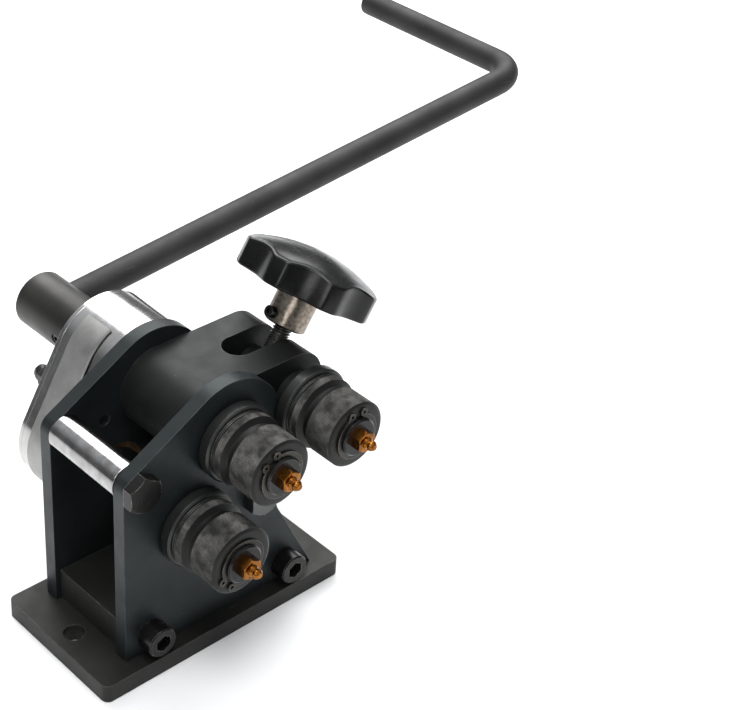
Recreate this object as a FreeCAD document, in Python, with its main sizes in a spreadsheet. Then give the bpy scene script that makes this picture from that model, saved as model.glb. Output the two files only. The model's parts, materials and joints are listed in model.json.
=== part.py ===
"""Ring roller: two geared rollers in a bolted plate frame, and a third roller on a screw-set pressure arm.

Frame: +X to the right, +Y to the rear, +Z up, in millimetres.
The origin is the middle of the base's underside.
The rollers overhang the front plate, and the gears and the crank are behind the rear plate.
"""
import FreeCAD, Part
import math
import os
import re

import Sketcher

Vector = FreeCAD.Vector
CLOSE = 0.01

# Driving dimensions: alias, value in millimetres or degrees, meaning
DIMENSIONS = [
    ("base_length", 150, "base plate along X"),
    ("base_width", 83, "base plate along Y"),
    ("base_thickness", 10, "base plate thickness"),
    ("base_corner", 4, "corner radius of the base plate"),
    ("mount_spacing", 128, "distance between the two mounting holes"),
    ("mount_hole", 5.5, "radius of a mounting hole"),
    ("plate_gap", 50, "clear distance between the front and rear plates"),
    ("plate_thickness", 8, "side plate thickness"),
    ("crown_radius", 31, "round top of the side plates about the centre shaft"),
    ("plate_foot", 61.3, "right end of the side plates' foot"),
    ("knee_height", 59, "height where the right edge starts to slant"),
    ("knee_radius", 9, "rounding of that knee"),
    ("center_x", 5.3, "centre shaft, X"),
    ("center_height", 115.8, "centre shaft, Z"),
    ("gear_module", 2, "gear module"),
    ("gear_teeth", 23, "teeth on each gear"),
    ("gear_backlash", 0.16, "backlash at the pitch circle"),
    ("gear_width", 20, "gear face width"),
    ("gear_setback", 5, "rear plate to gear face"),
    ("gear_hub", 14, "radius of a gear's hub"),
    ("gear_key_inset", 4, "gear face to the end of its key"),
    ("gear_groove", 0.5, "lower gear to its circlip groove"),
    ("lower_tail", 5, "lower shaft beyond that circlip"),
    ("pressure_face", 20, "gear pressure angle"),
    ("lower_angle", 241.1, "direction from the centre shaft to the lower shaft"),
    ("arm_radius", 47, "centre shaft to pressure roller, and to the anchor bolt"),
    ("pressure_angle", 0.6, "direction from the centre shaft to the pressure roller at rest"),
    ("anchor_angle", -66.5, "direction from the centre shaft to the anchor bolt"),
    ("tie_x", -48.7, "upper left tie bolt, X"),
    ("tie_height", 110.8, "upper left tie bolt, Z"),
    ("tie_shoulder", 8.3, "plate rounding about the tie bolt"),
    ("block_length", 108, "spacer block along X"),
    ("block_height", 18, "spacer block height"),
    ("shaft_radius", 10, "roller shafts"),
    ("running_gap", 0.05, "radial clearance of running and push fits"),
    ("end_gap", 0.3, "clearance at the ends of captive pieces, and round shanks that pass through"),
    ("edge_bevel", 0.8, "bevel of bolt ends, cap screw heads and the collar"),
    ("bush_wall", 3, "wall of the bronze bushes"),
    ("washer_thickness", 0.8, "thrust washer thickness"),
    ("washer_radius", 17, "thrust washer outer radius"),
    ("flange_radius", 20.4, "smooth flange disc radius"),
    ("flange_width", 6.8, "smooth flange disc width"),
    ("flange_bevel", 0.9, "bevel of the disc's rims"),
    ("step_radius", 18, "step in front of the disc"),
    ("step_width", 1.4, "width of that step"),
    ("band_radius", 18.7, "small knurled band radius"),
    ("band_width", 4.5, "small knurled band width"),
    ("relief_radius", 17.4, "relief behind the small band"),
    ("relief_width", 1, "width of that relief"),
    ("waist_radius", 15.5, "waist between the two knurled bands"),
    ("waist_width", 5.5, "waist width with its slopes"),
    ("waist_slope", 1.2, "length of each slope at the waist"),
    ("body_radius", 17.5, "large knurled band radius"),
    ("body_width", 16.3, "large knurled band width"),
    ("body_bevel", 1.6, "bevel at the roller's front face"),
    ("circlip_width", 1.2, "circlip thickness"),
    ("circlip_radius", 12.4, "circlip outer radius"),
    ("circlip_depth", 0.5, "depth of a circlip groove"),
    ("circlip_opening", 34, "opening angle of a circlip"),
    ("lug_radius", 2.1, "circlip lug radius"),
    ("lug_rise", 0.6, "centre of a lug beyond the circlip's rim"),
    ("lug_hole", 0.9, "hole in a circlip lug"),
    ("shaft_tip", 1.8, "shaft beyond the circlip"),
    ("shaft_bevel", 0.8, "bevel at the shaft ends"),
    ("key_width", 6, "key width"),
    ("key_depth", 3.4, "key depth into each part"),
    ("key_length", 12, "key length"),
    ("nipple_hex", 10, "grease nipple across flats"),
    ("nipple_hex_height", 5, "grease nipple hexagon height"),
    ("nipple_height", 10.2, "grease nipple height above the shaft end"),
    ("nipple_thread", 3, "grease nipple thread radius"),
    ("nipple_reach", 6, "grease nipple thread length"),
    ("ball_radius", 2.9, "grease nipple ball radius"),
    ("lower_key_angle", 36.6, "key direction, lower roller"),
    ("center_key_angle", 16.2, "key direction, centre roller"),
    ("pressure_key_angle", 12.6, "key direction, pressure roller"),
    ("lower_lug_angle", 224, "circlip opening direction, lower roller"),
    ("center_lug_angle", 123, "circlip opening direction, centre roller"),
    ("pressure_lug_angle", 90, "circlip opening direction, pressure roller"),
    ("housing_clearance", 2.5, "gear tips to the inside of the gear housing"),
    ("housing_wall", 2.5, "gear housing wall"),
    ("housing_depth", 36, "gear housing depth with its cover"),
    ("cover_thickness", 2.5, "housing cover thickness"),
    ("cover_bush_lip", 3, "cover bush inside the cover"),
    ("stud_offset", 22.5, "housing stud from the line of the two shafts"),
    ("stud_radius", 3, "housing stud radius"),
    ("stud_seat", 6, "stud depth in the rear plate"),
    ("acorn_hex", 10, "acorn nut across flats"),
    ("acorn_hex_height", 5.5, "acorn nut hexagon height"),
    ("acorn_height", 12, "acorn nut height"),
    ("acorn_dome", 4, "height of the acorn nut's dome"),
    ("acorn_top", 1.8, "radius of the acorn nut's flat top"),
    ("label_thickness", 0.6, "label strip thickness"),
    ("label_start", 8.5, "rear plate to the label strip"),
    ("label_width", 19, "label strip along Y"),
    ("label_wrap", 25.3, "line of the two shafts to the label's upper end"),
    ("label_tail", 17, "line of the two shafts to the label's lower end"),
    ("bolt_radius", 5, "M10 thread radius"),
    ("bolt_hex", 17, "M10 head and nut across flats"),
    ("bolt_head", 6.4, "M10 hexagon head height"),
    ("bolt_sink", 1, "M10 bolt ends inside the rear plate's face"),
    ("tube_radius", 9, "outer radius of the distance tubes"),
    ("cap_head_radius", 8, "M10 cap screw head radius"),
    ("cap_head_height", 10, "M10 cap screw head height"),
    ("cap_socket", 8, "M10 cap screw socket across flats"),
    ("cap_socket_depth", 5, "depth of that socket"),
    ("cap_length", 22, "M10 cap screw length under the head"),
    ("cap_offset", 42, "cap screws from the middle plane"),
    ("cap_height", 20.5, "cap screws above the base's underside"),
    ("base_screw_x", 30, "base screws from the middle, X"),
    ("base_screw_y", 12, "base screws from the middle, Y"),
    ("base_screw_radius", 3, "base screw thread radius"),
    ("base_screw_head", 5.8, "base screw countersunk head radius"),
    ("base_screw_length", 21, "base screw length"),
    ("base_screw_socket", 4, "base screw socket across flats"),
    ("base_socket_depth", 2.5, "depth of that socket"),
    ("arm_gap", 0.4, "pressure arm to side plate"),
    ("arm_boss", 21.5, "pressure arm boss radius"),
    ("arm_end", 17.7, "pressure roller's axis to the arm's free end"),
    ("arm_half", 22, "half the height of the arm's free end"),
    ("arm_corner", 16, "rounding of the arm's free end"),
    ("slot_width", 17.4, "fork slot width"),
    ("slot_run", 24, "pressure roller's axis back to the round end of the slot"),
    ("retainer_radius", 2, "pin that retains the pressure shaft"),
    ("retainer_length", 22, "length of that pin"),
    ("spacer_radius", 12.5, "spacer ring radius on the pressure shaft"),
    ("nut_tail", 0.3, "swivel nut and shaft ends inside the arm's faces"),
    ("screw_gap", 0.3, "radial clearance of the screw in the swivel nut"),
    ("block_thickness", 12, "trunnion block along Y"),
    ("trunnion_radius", 10, "trunnion block about the anchor bolt"),
    ("trunnion_neck", 6, "half width of the trunnion's top"),
    ("trunnion_height", 20, "anchor bolt to the trunnion's top"),
    ("journal_radius", 3.5, "screw journal radius"),
    ("journal_floor", 8, "anchor bolt to the floor of the journal bore"),
    ("journal_pin", 1.5, "journal pin radius"),
    ("journal_pin_height", 14, "anchor bolt to the journal pin"),
    ("screw_radius", 5, "adjusting screw thread radius"),
    ("collar_gap", 25.55, "swivel nut's axis to the collar's underside"),
    ("collar_radius", 11, "collar radius"),
    ("collar_height", 19.1, "collar height"),
    ("collar_screw_rise", 4.6, "collar's underside to its set screw"),
    ("collar_screw_turn", 5, "direction of the collar's set screw"),
    ("collar_screw_proud", 3.5, "set screw beyond the collar"),
    ("set_screw_radius", 3, "M6 set screw radius"),
    ("set_screw_socket", 3, "M6 set screw socket across flats"),
    ("set_socket_depth", 2.3, "depth of a side set screw's socket"),
    ("end_socket_depth", 1.4, "depth of the hub's end screw's socket"),
    ("set_screw_sink", 0.6, "hub set screws below the hub's faces"),
    ("knob_radius", 36, "star knob over its lobes"),
    ("knob_lobes", 7, "lobes on the star knob"),
    ("knob_scallop", 24, "radius of the scallops between the lobes"),
    ("knob_scallop_depth", 4.2, "depth of the scallops"),
    ("knob_turn", 13.9, "direction of the first scallop"),
    ("knob_rim", 14.7, "star knob rim height"),
    ("knob_crown", 8.3, "crown of the star knob above its rim"),
    ("knob_rounding", 1.4, "rounding of the knob's rims"),
    ("hub_gap", 0.5, "housing cover to crank hub"),
    ("hub_radius", 15.5, "crank hub radius"),
    ("hub_length", 55.3, "crank hub length"),
    ("hub_bevel", 1.2, "bevel of the crank hub"),
    ("hub_screw_setback", 19, "hub's front face to its set screw"),
    ("hub_screw_angle", 186, "direction of that set screw"),
    ("crank_radius", 8, "crank rod radius"),
    ("crank_setback", 42.6, "hub's front face to the crank rod"),
    ("crank_tail", 10, "centre shaft to the crank rod's inner end"),
    ("crank_angle", 6.44, "crank rod above the horizontal"),
    ("crank_reach", 357, "centre shaft to the handle's axis"),
    ("crank_bend", 20, "bend radius of the rod's middle line"),
    ("handle_length", 139, "crank rod's middle line to the handle's end"),
    ("shaft_stop", 9, "end of the centre shaft short of the crank rod's middle line"),
]

# Places and sizes worked out from the driving dimensions
DERIVED = {
    "half_gap": "plate_gap / 2",
    "plate_face": "half_gap + plate_thickness",
    "center_distance": "gear_module * gear_teeth",
    "lower_x": "center_x + center_distance * cos(lower_angle)",
    "lower_height": "center_height + center_distance * sin(lower_angle)",
    "pressure_x": "center_x + arm_radius * cos(pressure_angle)",
    "pressure_height": "center_height + arm_radius * sin(pressure_angle)",
    "anchor_x": "center_x + arm_radius * cos(anchor_angle)",
    "anchor_height": "center_height + arm_radius * sin(anchor_angle)",
    "screw_lean": "-(pressure_angle + anchor_angle) / 2",
    "plate_left": "tie_x - tie_shoulder",
    "plate_right": "center_x + crown_radius",
    "bore": "shaft_radius + running_gap",
    "bush_radius": "shaft_radius + bush_wall",
    "bush_seat": "bush_radius + running_gap",
    "bolt_hole": "bolt_radius + running_gap",
    "tube_bore": "bolt_radius + 0.3",
    "disc_back": "plate_face + washer_thickness",
    "disc_front": "disc_back + flange_width",
    "step_front": "disc_front + step_width",
    "relief_front": "step_front + relief_width",
    "band_front": "relief_front + band_width",
    "waist_front": "band_front + waist_width",
    "body_front": "waist_front + body_width",
    "clip_front": "body_front + circlip_width",
    "shaft_front": "clip_front + shaft_tip",
    "groove_floor": "shaft_radius - circlip_depth",
    "lug_offset": "circlip_radius + lug_rise",
    "gear_back": "plate_face + gear_setback",
    "gear_rear": "gear_back + gear_width",
    "gear_pitch": "center_distance / 2",
    "gear_tip": "gear_pitch + gear_module",
    "gear_root": "gear_pitch - 1.25 * gear_module",
    "housing_bore": "gear_tip + housing_clearance",
    "housing_radius": "housing_bore + housing_wall",
    "housing_rear": "plate_face + housing_depth",
    "band_rear": "housing_rear - cover_thickness",
    "middle_x": "(center_x + lower_x) / 2",
    "middle_height": "(center_height + lower_height) / 2",
    "label_inner": "housing_radius + running_gap",
    "label_outer": "label_inner + label_thickness",
    "cheek": "half_gap - arm_gap",
    "cheek_inner": "slot_width / 2",
    "shaft_inner_end": "cheek_inner + 4.3",
    "retainer_y": "(cheek + cheek_inner) / 2",
    "hub_front": "housing_rear + hub_gap",
    "hub_rear": "hub_front + hub_length",
    "crank_y": "hub_front + crank_setback",
    "center_shaft_rear": "crank_y - shaft_stop",
    "arm_reach": "arm_radius + arm_end",
    "slot_start": "arm_radius - slot_run",
    "collar_start": "2 * arm_radius * sin((pressure_angle - anchor_angle) / 2) + collar_gap",
    "collar_end": "collar_start + collar_height",
    "rim_end": "collar_end + knob_rim",
}

document = FreeCAD.newDocument("ring_roller")
sheet = document.addObject("Spreadsheet::Sheet", "Dims")
for row, (alias, number, meaning) in enumerate(DIMENSIONS, start=1):
    sheet.set("A%d" % row, meaning)
    sheet.set("B%d" % row, str(number))
    sheet.setAlias("B%d" % row, alias)
document.recompute()

ALIASES = {alias for alias, number, meaning in DIMENSIONS}
pieces = []


def expand(text):
    """Write derived names out, and point each alias at its cell in the sheet."""
    def replace(match):
        word = match.group(0)
        if word in DERIVED:
            return "(" + expand(DERIVED[word]) + ")"
        if word in ALIASES:
            return "Dims." + word
        return word

    return re.sub(r"[a-z_]+", replace, text)


def value(text):
    """The number that an expression gives now."""
    return float(sheet.evalExpression(expand(text)))


def bind(item, prop, text):
    item.setExpression(prop, expand(text))


def keep(item, label):
    """Name a finished sub-part and list it for writing."""
    item.Label = label
    pieces.append(item)
    return item


def place(item, x="0", y="0", z="0", axis=(0, 1, 0), angle=None):
    """Bind a Placement: where the item's own origin goes, and its turn about one axis."""
    item.Placement = FreeCAD.Placement(Vector(0, 0, 0), FreeCAD.Rotation(Vector(*axis), 0))
    for component, text in (("x", x), ("y", y), ("z", z)):
        if text != "0":
            bind(item, "Placement.Base." + component, text)
    if angle is not None:
        item.Placement.Rotation.Axis = Vector(*axis)
        bind(item, "Placement.Rotation.Angle", angle)
    return item


def new_body(name):
    return document.addObject("PartDesign::Body", name)


def new_sketch(body, plane, name="Profile"):
    """A sketch on one of the body's own origin planes."""
    sketch = body.newObject("Sketcher::SketchObject", name)
    origin_plane = next(f for f in body.Origin.OriginFeatures if f.Role == plane)
    sketch.AttachmentSupport = [(origin_plane, "")]
    sketch.MapMode = "FlatFace"
    return sketch


def locate(sketch, geometry, vertex, x, y):
    """Hold a point of a sketch at two bound coordinates."""
    for kind, text, line in (("DistanceX", x, -2), ("DistanceY", y, -1)):
        if text == "0":
            sketch.addConstraint(Sketcher.Constraint("PointOnObject", geometry, vertex, line))
        else:
            rule = Sketcher.Constraint(kind, -1, 1, geometry, vertex, value(text))
            bind(sketch, "Constraints[%d]" % sketch.addConstraint(rule), text)


def draw_polygon(sketch, corners):
    """A closed outline of straight lines through bound corners."""
    points = [Vector(value(x), value(y), 0) for x, y in corners]
    first = sketch.GeometryCount
    count = len(corners)
    for i in range(count):
        sketch.addGeometry(Part.LineSegment(points[i], points[(i + 1) % count]))
    for i in range(count):
        following = first + (i + 1) % count
        sketch.addConstraint(Sketcher.Constraint("Coincident", first + i, 2, following, 1))
        locate(sketch, first + i, 1, *corners[i])


def draw_circle(sketch, x, y, radius):
    centre = Vector(value(x), value(y), 0)
    circle = sketch.addGeometry(Part.Circle(centre, Vector(0, 0, 1), value(radius)))
    rule = Sketcher.Constraint("Radius", circle, value(radius))
    bind(sketch, "Constraints[%d]" % sketch.addConstraint(rule), radius)
    if (x, y) == ("0", "0"):
        sketch.addConstraint(Sketcher.Constraint("Coincident", circle, 3, -1, 1))
    else:
        locate(sketch, circle, 3, x, y)


def draw_belt(sketch, stops):
    """A closed outline, clockwise round stops of bound x, y and radius: arcs joined by tangent lines.

    A stop of radius "0" is a sharp corner.
    """
    count = len(stops)
    centres = [Vector(value(x), value(y), 0) for x, y, radius in stops]
    radii = [value(radius) for x, y, radius in stops]
    leaving, arriving = [], []
    for i in range(count):
        j = (i + 1) % count
        along = centres[j] - centres[i]
        length = along.Length
        along.normalize()
        left = Vector(-along.y, along.x, 0)
        lean = math.asin((radii[i] - radii[j]) / length)
        outward = left * math.cos(lean) + along * math.sin(lean)
        leaving.append((centres[i] + outward * radii[i], math.atan2(outward.y, outward.x)))
        arriving.append((centres[j] + outward * radii[j], math.atan2(outward.y, outward.x)))
    lines = [
        sketch.addGeometry(Part.LineSegment(leaving[i][0], arriving[i][0])) for i in range(count)
    ]
    for i, (x, y, radius) in enumerate(stops):
        before, after = lines[i - 1], lines[i]
        if radius == "0":
            sketch.addConstraint(Sketcher.Constraint("Coincident", before, 2, after, 1))
            locate(sketch, after, 1, x, y)
            continue
        circle = Part.Circle(centres[i], Vector(0, 0, 1), radii[i])
        arc = sketch.addGeometry(Part.ArcOfCircle(circle, leaving[i][1], arriving[i - 1][1]))
        locate(sketch, arc, 3, x, y)
        rule = Sketcher.Constraint("Radius", arc, radii[i])
        bind(sketch, "Constraints[%d]" % sketch.addConstraint(rule), radius)
        sketch.addConstraint(Sketcher.Constraint("Tangent", before, 2, arc, 2))
        sketch.addConstraint(Sketcher.Constraint("Tangent", after, 1, arc, 1))


def pad(body, sketch, length, midplane=False, flip=False):
    feature = body.newObject("PartDesign::Pad", "Pad")
    feature.Profile = sketch
    bind(feature, "Length", length)
    feature.Midplane = midplane
    feature.Reversed = flip
    return feature


def edge_names(shape, wanted):
    """Names of the edges that a test picks out."""
    return ["Edge%d" % i for i, edge in enumerate(shape.Edges, start=1) if wanted(edge)]


def dress(body, kind, size_name, size, wanted):
    """Fillet or chamfer the chosen edges of a body's last feature."""
    document.recompute()
    base = body.Tip
    feature = body.newObject("PartDesign::" + kind, kind)
    feature.Base = (base, edge_names(base.Shape, wanted))
    bind(feature, size_name, size)
    return feature


def turned(name, profile, axis="y"):
    """A body of revolution about its own Y or Z axis, from bound (radius, station) corners."""
    body = new_body(name)
    sketch = new_sketch(body, "XY_Plane" if axis == "y" else "XZ_Plane")
    draw_polygon(sketch, profile)
    turn = body.newObject("PartDesign::Revolution", "Turn")
    turn.Profile = sketch
    turn.ReferenceAxis = (sketch, ["V_Axis"])
    turn.Angle = 360
    return body


def rod(name, radius, start, end, axis="y"):
    return turned(name, [("0", start), (radius, start), (radius, end), ("0", end)], axis)


def ring(name, inner, outer, start, end, axis="y"):
    return turned(name, [(inner, start), (outer, start), (outer, end), (inner, end)], axis)


def plate(name, y, thickness, draw):
    """A flat piece upright in XZ that starts at Y and goes rearward."""
    body = new_body(name)
    sketch = new_sketch(body, "XZ_Plane")
    draw(sketch)
    pad(body, sketch, thickness, flip=True)
    return place(body, y=y)


def block(name, length, width, height):
    """A box centred on its own origin in X and Y, standing on Z = 0."""
    body = new_body(name)
    sketch = new_sketch(body, "XY_Plane")
    east, north = "(%s) / 2" % length, "(%s) / 2" % width
    west, south = "-" + east, "-" + north
    draw_polygon(sketch, [(west, south), (east, south), (east, north), (west, north)])
    pad(body, sketch, height)
    return body


def hexagon(name, across, height, axis="y"):
    """A hexagonal prism that starts at its own origin and goes along Y or Z."""
    body = new_body(name)
    sketch = new_sketch(body, "XZ_Plane" if axis == "y" else "XY_Plane")
    half, side = "(%s) / 2" % across, "(%s) / sqrt(3)" % across
    draw_polygon(sketch, [
        (half, side + " / 2"), ("0", side), ("-" + half, side + " / 2"),
        ("-" + half, "-" + side + " / 2"), ("0", "-" + side), (half, "-" + side + " / 2")])
    pad(body, sketch, height, flip=(axis == "y"))
    return body


def boolean(kind, name, items):
    """Fuse, common or compound of several items."""
    result = document.addObject("Part::" + kind, name)
    if kind == "Compound":
        result.Links = items
    else:
        result.Shapes = items
    return result


def cut(name, base, tools):
    """Take tools away from a base."""
    result = document.addObject("Part::Cut", name)
    result.Base = base
    result.Tool = tools[0] if len(tools) == 1 else boolean("MultiFuse", name + "_tools", tools)
    return result


def socket_screw(name, head, head_height, shank, length, socket, socket_depth):
    """A cap screw whose head stands below its own origin, with the shank going up along Y."""
    solid = turned(name + "_solid", [
        ("0", "-(%s)" % head_height), ("%s - edge_bevel" % head, "-(%s)" % head_height),
        (head, "-(%s) + edge_bevel" % head_height), (head, "0"), (shank, "0"),
        (shank, "%s - edge_bevel" % length), ("%s - edge_bevel" % shank, length), ("0", length)])
    recess = hexagon(name + "_socket", socket, socket_depth)
    place(recess, y="-(%s)" % head_height)
    return cut(name, solid, [recess])


def copies(name, item, places):
    """One solid at each bound place, as a single group."""
    solids = []
    for i, (x, y, z, half_turn) in enumerate(places):
        link = document.addObject("App::Link", "%s_%d" % (name, i + 1))
        link.LinkedObject = item
        link.LinkTransform = True
        place(link, x, y, z, axis=(0, 0, 1), angle="180" if half_turn else "0")
        solids.append(link)
    return boolean("Compound", name, solids)


def make_base():
    body = new_body("base_solid")
    sketch = new_sketch(body, "XY_Plane")
    east, north = "base_length / 2", "base_width / 2"
    draw_polygon(sketch, [("-" + east, "-" + north), (east, "-" + north), (east, north), ("-" + east, north)])
    for sign in ("", "-"):
        draw_circle(sketch, sign + "mount_spacing / 2", "0", "mount_hole")
    pad(body, sketch, "base_thickness")
    dress(body, "Fillet", "Radius", "base_corner",
          lambda edge: edge.Curve.TypeId == "Part::GeomLine" and abs(edge.tangentAt(0).z) > 0.9)
    recess = turned("base_screw_hole", [
        ("0", "0"), ("base_screw_head + end_gap + 2 * running_gap", "0"),
        ("base_screw_radius + end_gap", "base_screw_head - base_screw_radius + 2 * running_gap"),
        ("base_screw_radius + end_gap", "base_thickness"), ("0", "base_thickness")], axis="z")
    screw = turned("base_screw_solid", [
        ("0", "end_gap"), ("base_screw_head", "end_gap"),
        ("base_screw_radius", "end_gap + base_screw_head - base_screw_radius"),
        ("base_screw_radius", "base_screw_length"), ("0", "base_screw_length")], axis="z")
    socket = hexagon("base_screw_recess", "base_screw_socket", "base_socket_depth", axis="z")
    place(socket, z="end_gap")
    spots = [(sx + "base_screw_x", sy + "base_screw_y", "0", False) for sx in ("", "-") for sy in ("", "-")]
    keep(cut("base_plate", body, [copies("base_holes", recess, spots)]), "base_plate")
    keep(copies("base_screws", cut("base_screw", screw, [socket]), spots), "base_screws")
    return spots


def make_block(spots):
    body = place(block("block_solid", "block_length", "plate_gap", "block_height"), z="base_thickness")
    thread = rod("cap_thread", "bolt_hole", "0", "cap_length - plate_thickness + 2")
    sides = [(sx + "cap_offset", "-half_gap", "cap_height", False) for sx in ("", "-")]
    sides += [(sx + "cap_offset", "half_gap", "cap_height", True) for sx in ("", "-")]
    depth = "base_screw_length + 1.5"
    below = rod("base_thread", "base_screw_radius + running_gap", "base_thickness", depth, axis="z")
    tools = [copies("cap_threads", thread, sides), copies("base_threads", below, spots)]
    keep(cut("spacer_block", body, tools), "spacer_block")
    screw = socket_screw("cap_screw", "cap_head_radius", "cap_head_height", "bolt_radius", "cap_length",
                         "cap_socket", "cap_socket_depth")
    seats = [(sx + "cap_offset", "-plate_face", "cap_height", False) for sx in ("", "-")]
    seats += [(sx + "cap_offset", "plate_face", "cap_height", True) for sx in ("", "-")]
    keep(copies("side_cap_screws", screw, seats), "side_cap_screws")


def draw_side_plate(sketch):
    draw_belt(sketch, [
        ("plate_left", "base_thickness", "0"),
        ("tie_x", "tie_height", "tie_shoulder"),
        ("center_x", "center_height", "crown_radius"),
        ("plate_right", "knee_height", "0"),
        ("plate_foot", "base_thickness", "0")])
    draw_circle(sketch, "center_x", "center_height", "bush_seat")
    draw_circle(sketch, "lower_x", "lower_height", "bush_seat")
    draw_circle(sketch, "tie_x", "tie_height", "bolt_hole")
    draw_circle(sketch, "anchor_x", "anchor_height", "bolt_hole")
    for sign in ("", "-"):
        draw_circle(sketch, sign + "cap_offset", "cap_height", "bolt_hole")


def draw_rear_plate(sketch):
    draw_side_plate(sketch)
    for x, z in stud_places():
        draw_circle(sketch, x, z, "stud_radius + running_gap")


def stud_places():
    """The two housing studs, each side of the line through the shafts."""
    across, up = "stud_offset * sin(lower_angle)", "stud_offset * cos(lower_angle)"
    return [
        ("middle_x + " + across, "middle_height - " + up),
        ("middle_x - " + across, "middle_height + " + up)]


def make_side_plates():
    def at_knee(edge):
        point = edge.Vertexes[0].Point
        there = abs(point.x - value("plate_right")) < CLOSE and abs(point.z - value("knee_height")) < CLOSE
        return there and abs(edge.tangentAt(0).y) > 0.9

    sides = (("front_plate", "-plate_face", draw_side_plate), ("rear_plate", "half_gap", draw_rear_plate))
    for name, start, draw in sides:
        body = plate(name, start, "plate_thickness", draw)
        dress(body, "Fillet", "Radius", "knee_radius", at_knee)
        keep(body, name)


def make_bushes():
    for shaft, x, z in (("center", "center_x", "center_height"), ("lower", "lower_x", "lower_height")):
        for side, start in (("front", "-plate_face"), ("rear", "half_gap")):
            name = "%s_bush_%s" % (shaft, side)
            bush = ring(name, "bore", "bush_radius", start, start + " + plate_thickness")
            keep(place(bush, x, "0", z), name)
    bush = ring("cover_bush", "bore", "bush_radius", "band_rear - cover_bush_lip", "housing_rear")
    keep(place(bush, "center_x", "0", "center_height"), "cover_bush")
    washer = ring("thrust_washer", "bore + end_gap", "washer_radius", "-disc_back", "-plate_face")
    spots = [("center_x", "0", "center_height", False), ("lower_x", "0", "lower_height", False)]
    keep(copies("thrust_washers", washer, spots), "thrust_washers")


def hexagon_head(name, across, height):
    """A hexagon with its outer corners turned off at its start."""
    outline = hexagon(name + "_flats", across, height)
    corner = "%s / sqrt(3) + 0.2" % across
    face = "%s / 2 - 0.1" % across
    rise = "(%s / sqrt(3) - %s / 2 + 0.3) * tan(30)" % (across, across)
    profile = [("0", "0"), (face, "0"), (corner, rise), (corner, height), ("0", height)]
    return boolean("MultiCommon", name, [outline, turned(name + "_corners", profile)])


def make_bolt(name, x, z, tail):
    """A hexagon bolt seated on the front plate, with its shank running rearward."""
    head = place(hexagon_head(name + "_head", "bolt_hex", "bolt_head"), y="-plate_face - bolt_head")
    shank = turned(name + "_shank", [
        ("0", "-plate_face - 1"), ("bolt_radius", "-plate_face - 1"),
        ("bolt_radius", "%s - edge_bevel" % tail), ("bolt_radius - edge_bevel", tail), ("0", tail)])
    keep(place(boolean("MultiFuse", name, [head, shank]), x, "0", z), name)


def make_tie_bolts():
    """Both bolts screw into the rear plate, close to the gear housing."""
    make_bolt("tie_bolt", "tie_x", "tie_height", "plate_face - bolt_sink")
    make_bolt("anchor_bolt", "anchor_x", "anchor_height", "plate_face - bolt_sink")
    tube = ring("tie_tube", "tube_bore", "tube_radius", "-half_gap", "half_gap")
    keep(place(tube, "tie_x", "0", "tie_height"), "tie_tube")
    sleeve = ring("anchor_tube", "tube_bore", "tube_radius", "-half_gap", "-block_thickness / 2 - end_gap")
    spots = [("anchor_x", "0", "anchor_height", half) for half in (False, True)]
    keep(copies("anchor_tubes", sleeve, spots), "anchor_tubes")


def draw_round_pair(sketch, radius):
    """The outline that wraps both shafts at one radius."""
    draw_belt(sketch, [("lower_x", "lower_height", radius), ("center_x", "center_height", radius)])


def draw_housing(sketch):
    draw_round_pair(sketch, "housing_radius")
    draw_round_pair(sketch, "housing_bore")


def draw_cover(sketch):
    draw_round_pair(sketch, "housing_radius")
    draw_circle(sketch, "center_x", "center_height", "bush_seat")
    for x, z in stud_places():
        draw_circle(sketch, x, z, "stud_radius + running_gap")


def draw_label(sketch):
    draw_round_pair(sketch, "label_outer")
    draw_round_pair(sketch, "label_inner")


def make_housing():
    keep(plate("gear_housing", "plate_face", "housing_depth - cover_thickness", draw_housing), "gear_housing")
    keep(plate("housing_cover", "band_rear", "cover_thickness", draw_cover), "housing_cover")
    dome_foot = "housing_rear + acorn_height - acorn_dome"
    stud = rod("housing_stud", "stud_radius", "plate_face - stud_seat", dome_foot)
    spots = [(x, "0", z, False) for x, z in stud_places()]
    keep(copies("housing_studs", stud, spots), "housing_studs")
    flats = hexagon("acorn_flats", "acorn_hex", "acorn_hex_height")
    place(flats, y="housing_rear")
    dome = turned("acorn_cap", [
        ("0", "housing_rear + 1"), ("acorn_hex / 2 - end_gap", "housing_rear + 1"),
        ("acorn_hex / 2 - end_gap", dome_foot),
        ("(acorn_hex / 2 + acorn_top) / 2 + end_gap", "housing_rear + acorn_height - acorn_dome / 3"),
        ("acorn_top", "housing_rear + acorn_height"), ("0", "housing_rear + acorn_height")])
    thread = rod("acorn_thread", "stud_radius + running_gap", "housing_rear - 1", dome_foot + " + end_gap")
    nut = cut("housing_nut", boolean("MultiFuse", "acorn_nut", [flats, dome]), [thread])
    keep(copies("housing_nuts", nut, spots), "housing_nuts")
    band = plate("label_band", "plate_face + label_start", "label_width", draw_label)
    side = new_body("label_side")
    sketch = new_sketch(side, "XZ_Plane")
    reach = "2 * housing_radius"
    draw_polygon(sketch, [
        ("-" + reach, "label_tail"), ("0", "label_tail"), ("0", "label_wrap"), (reach, "label_wrap"),
        (reach, reach), ("-" + reach, reach)])
    pad(side, sketch, "label_width + 2", flip=True)
    place(side, "middle_x", "plate_face + label_start - 1", "middle_height", angle="-(lower_angle - 180)")
    keep(boolean("MultiCommon", "label_plate", [band, side]), "label_plate")


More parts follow.
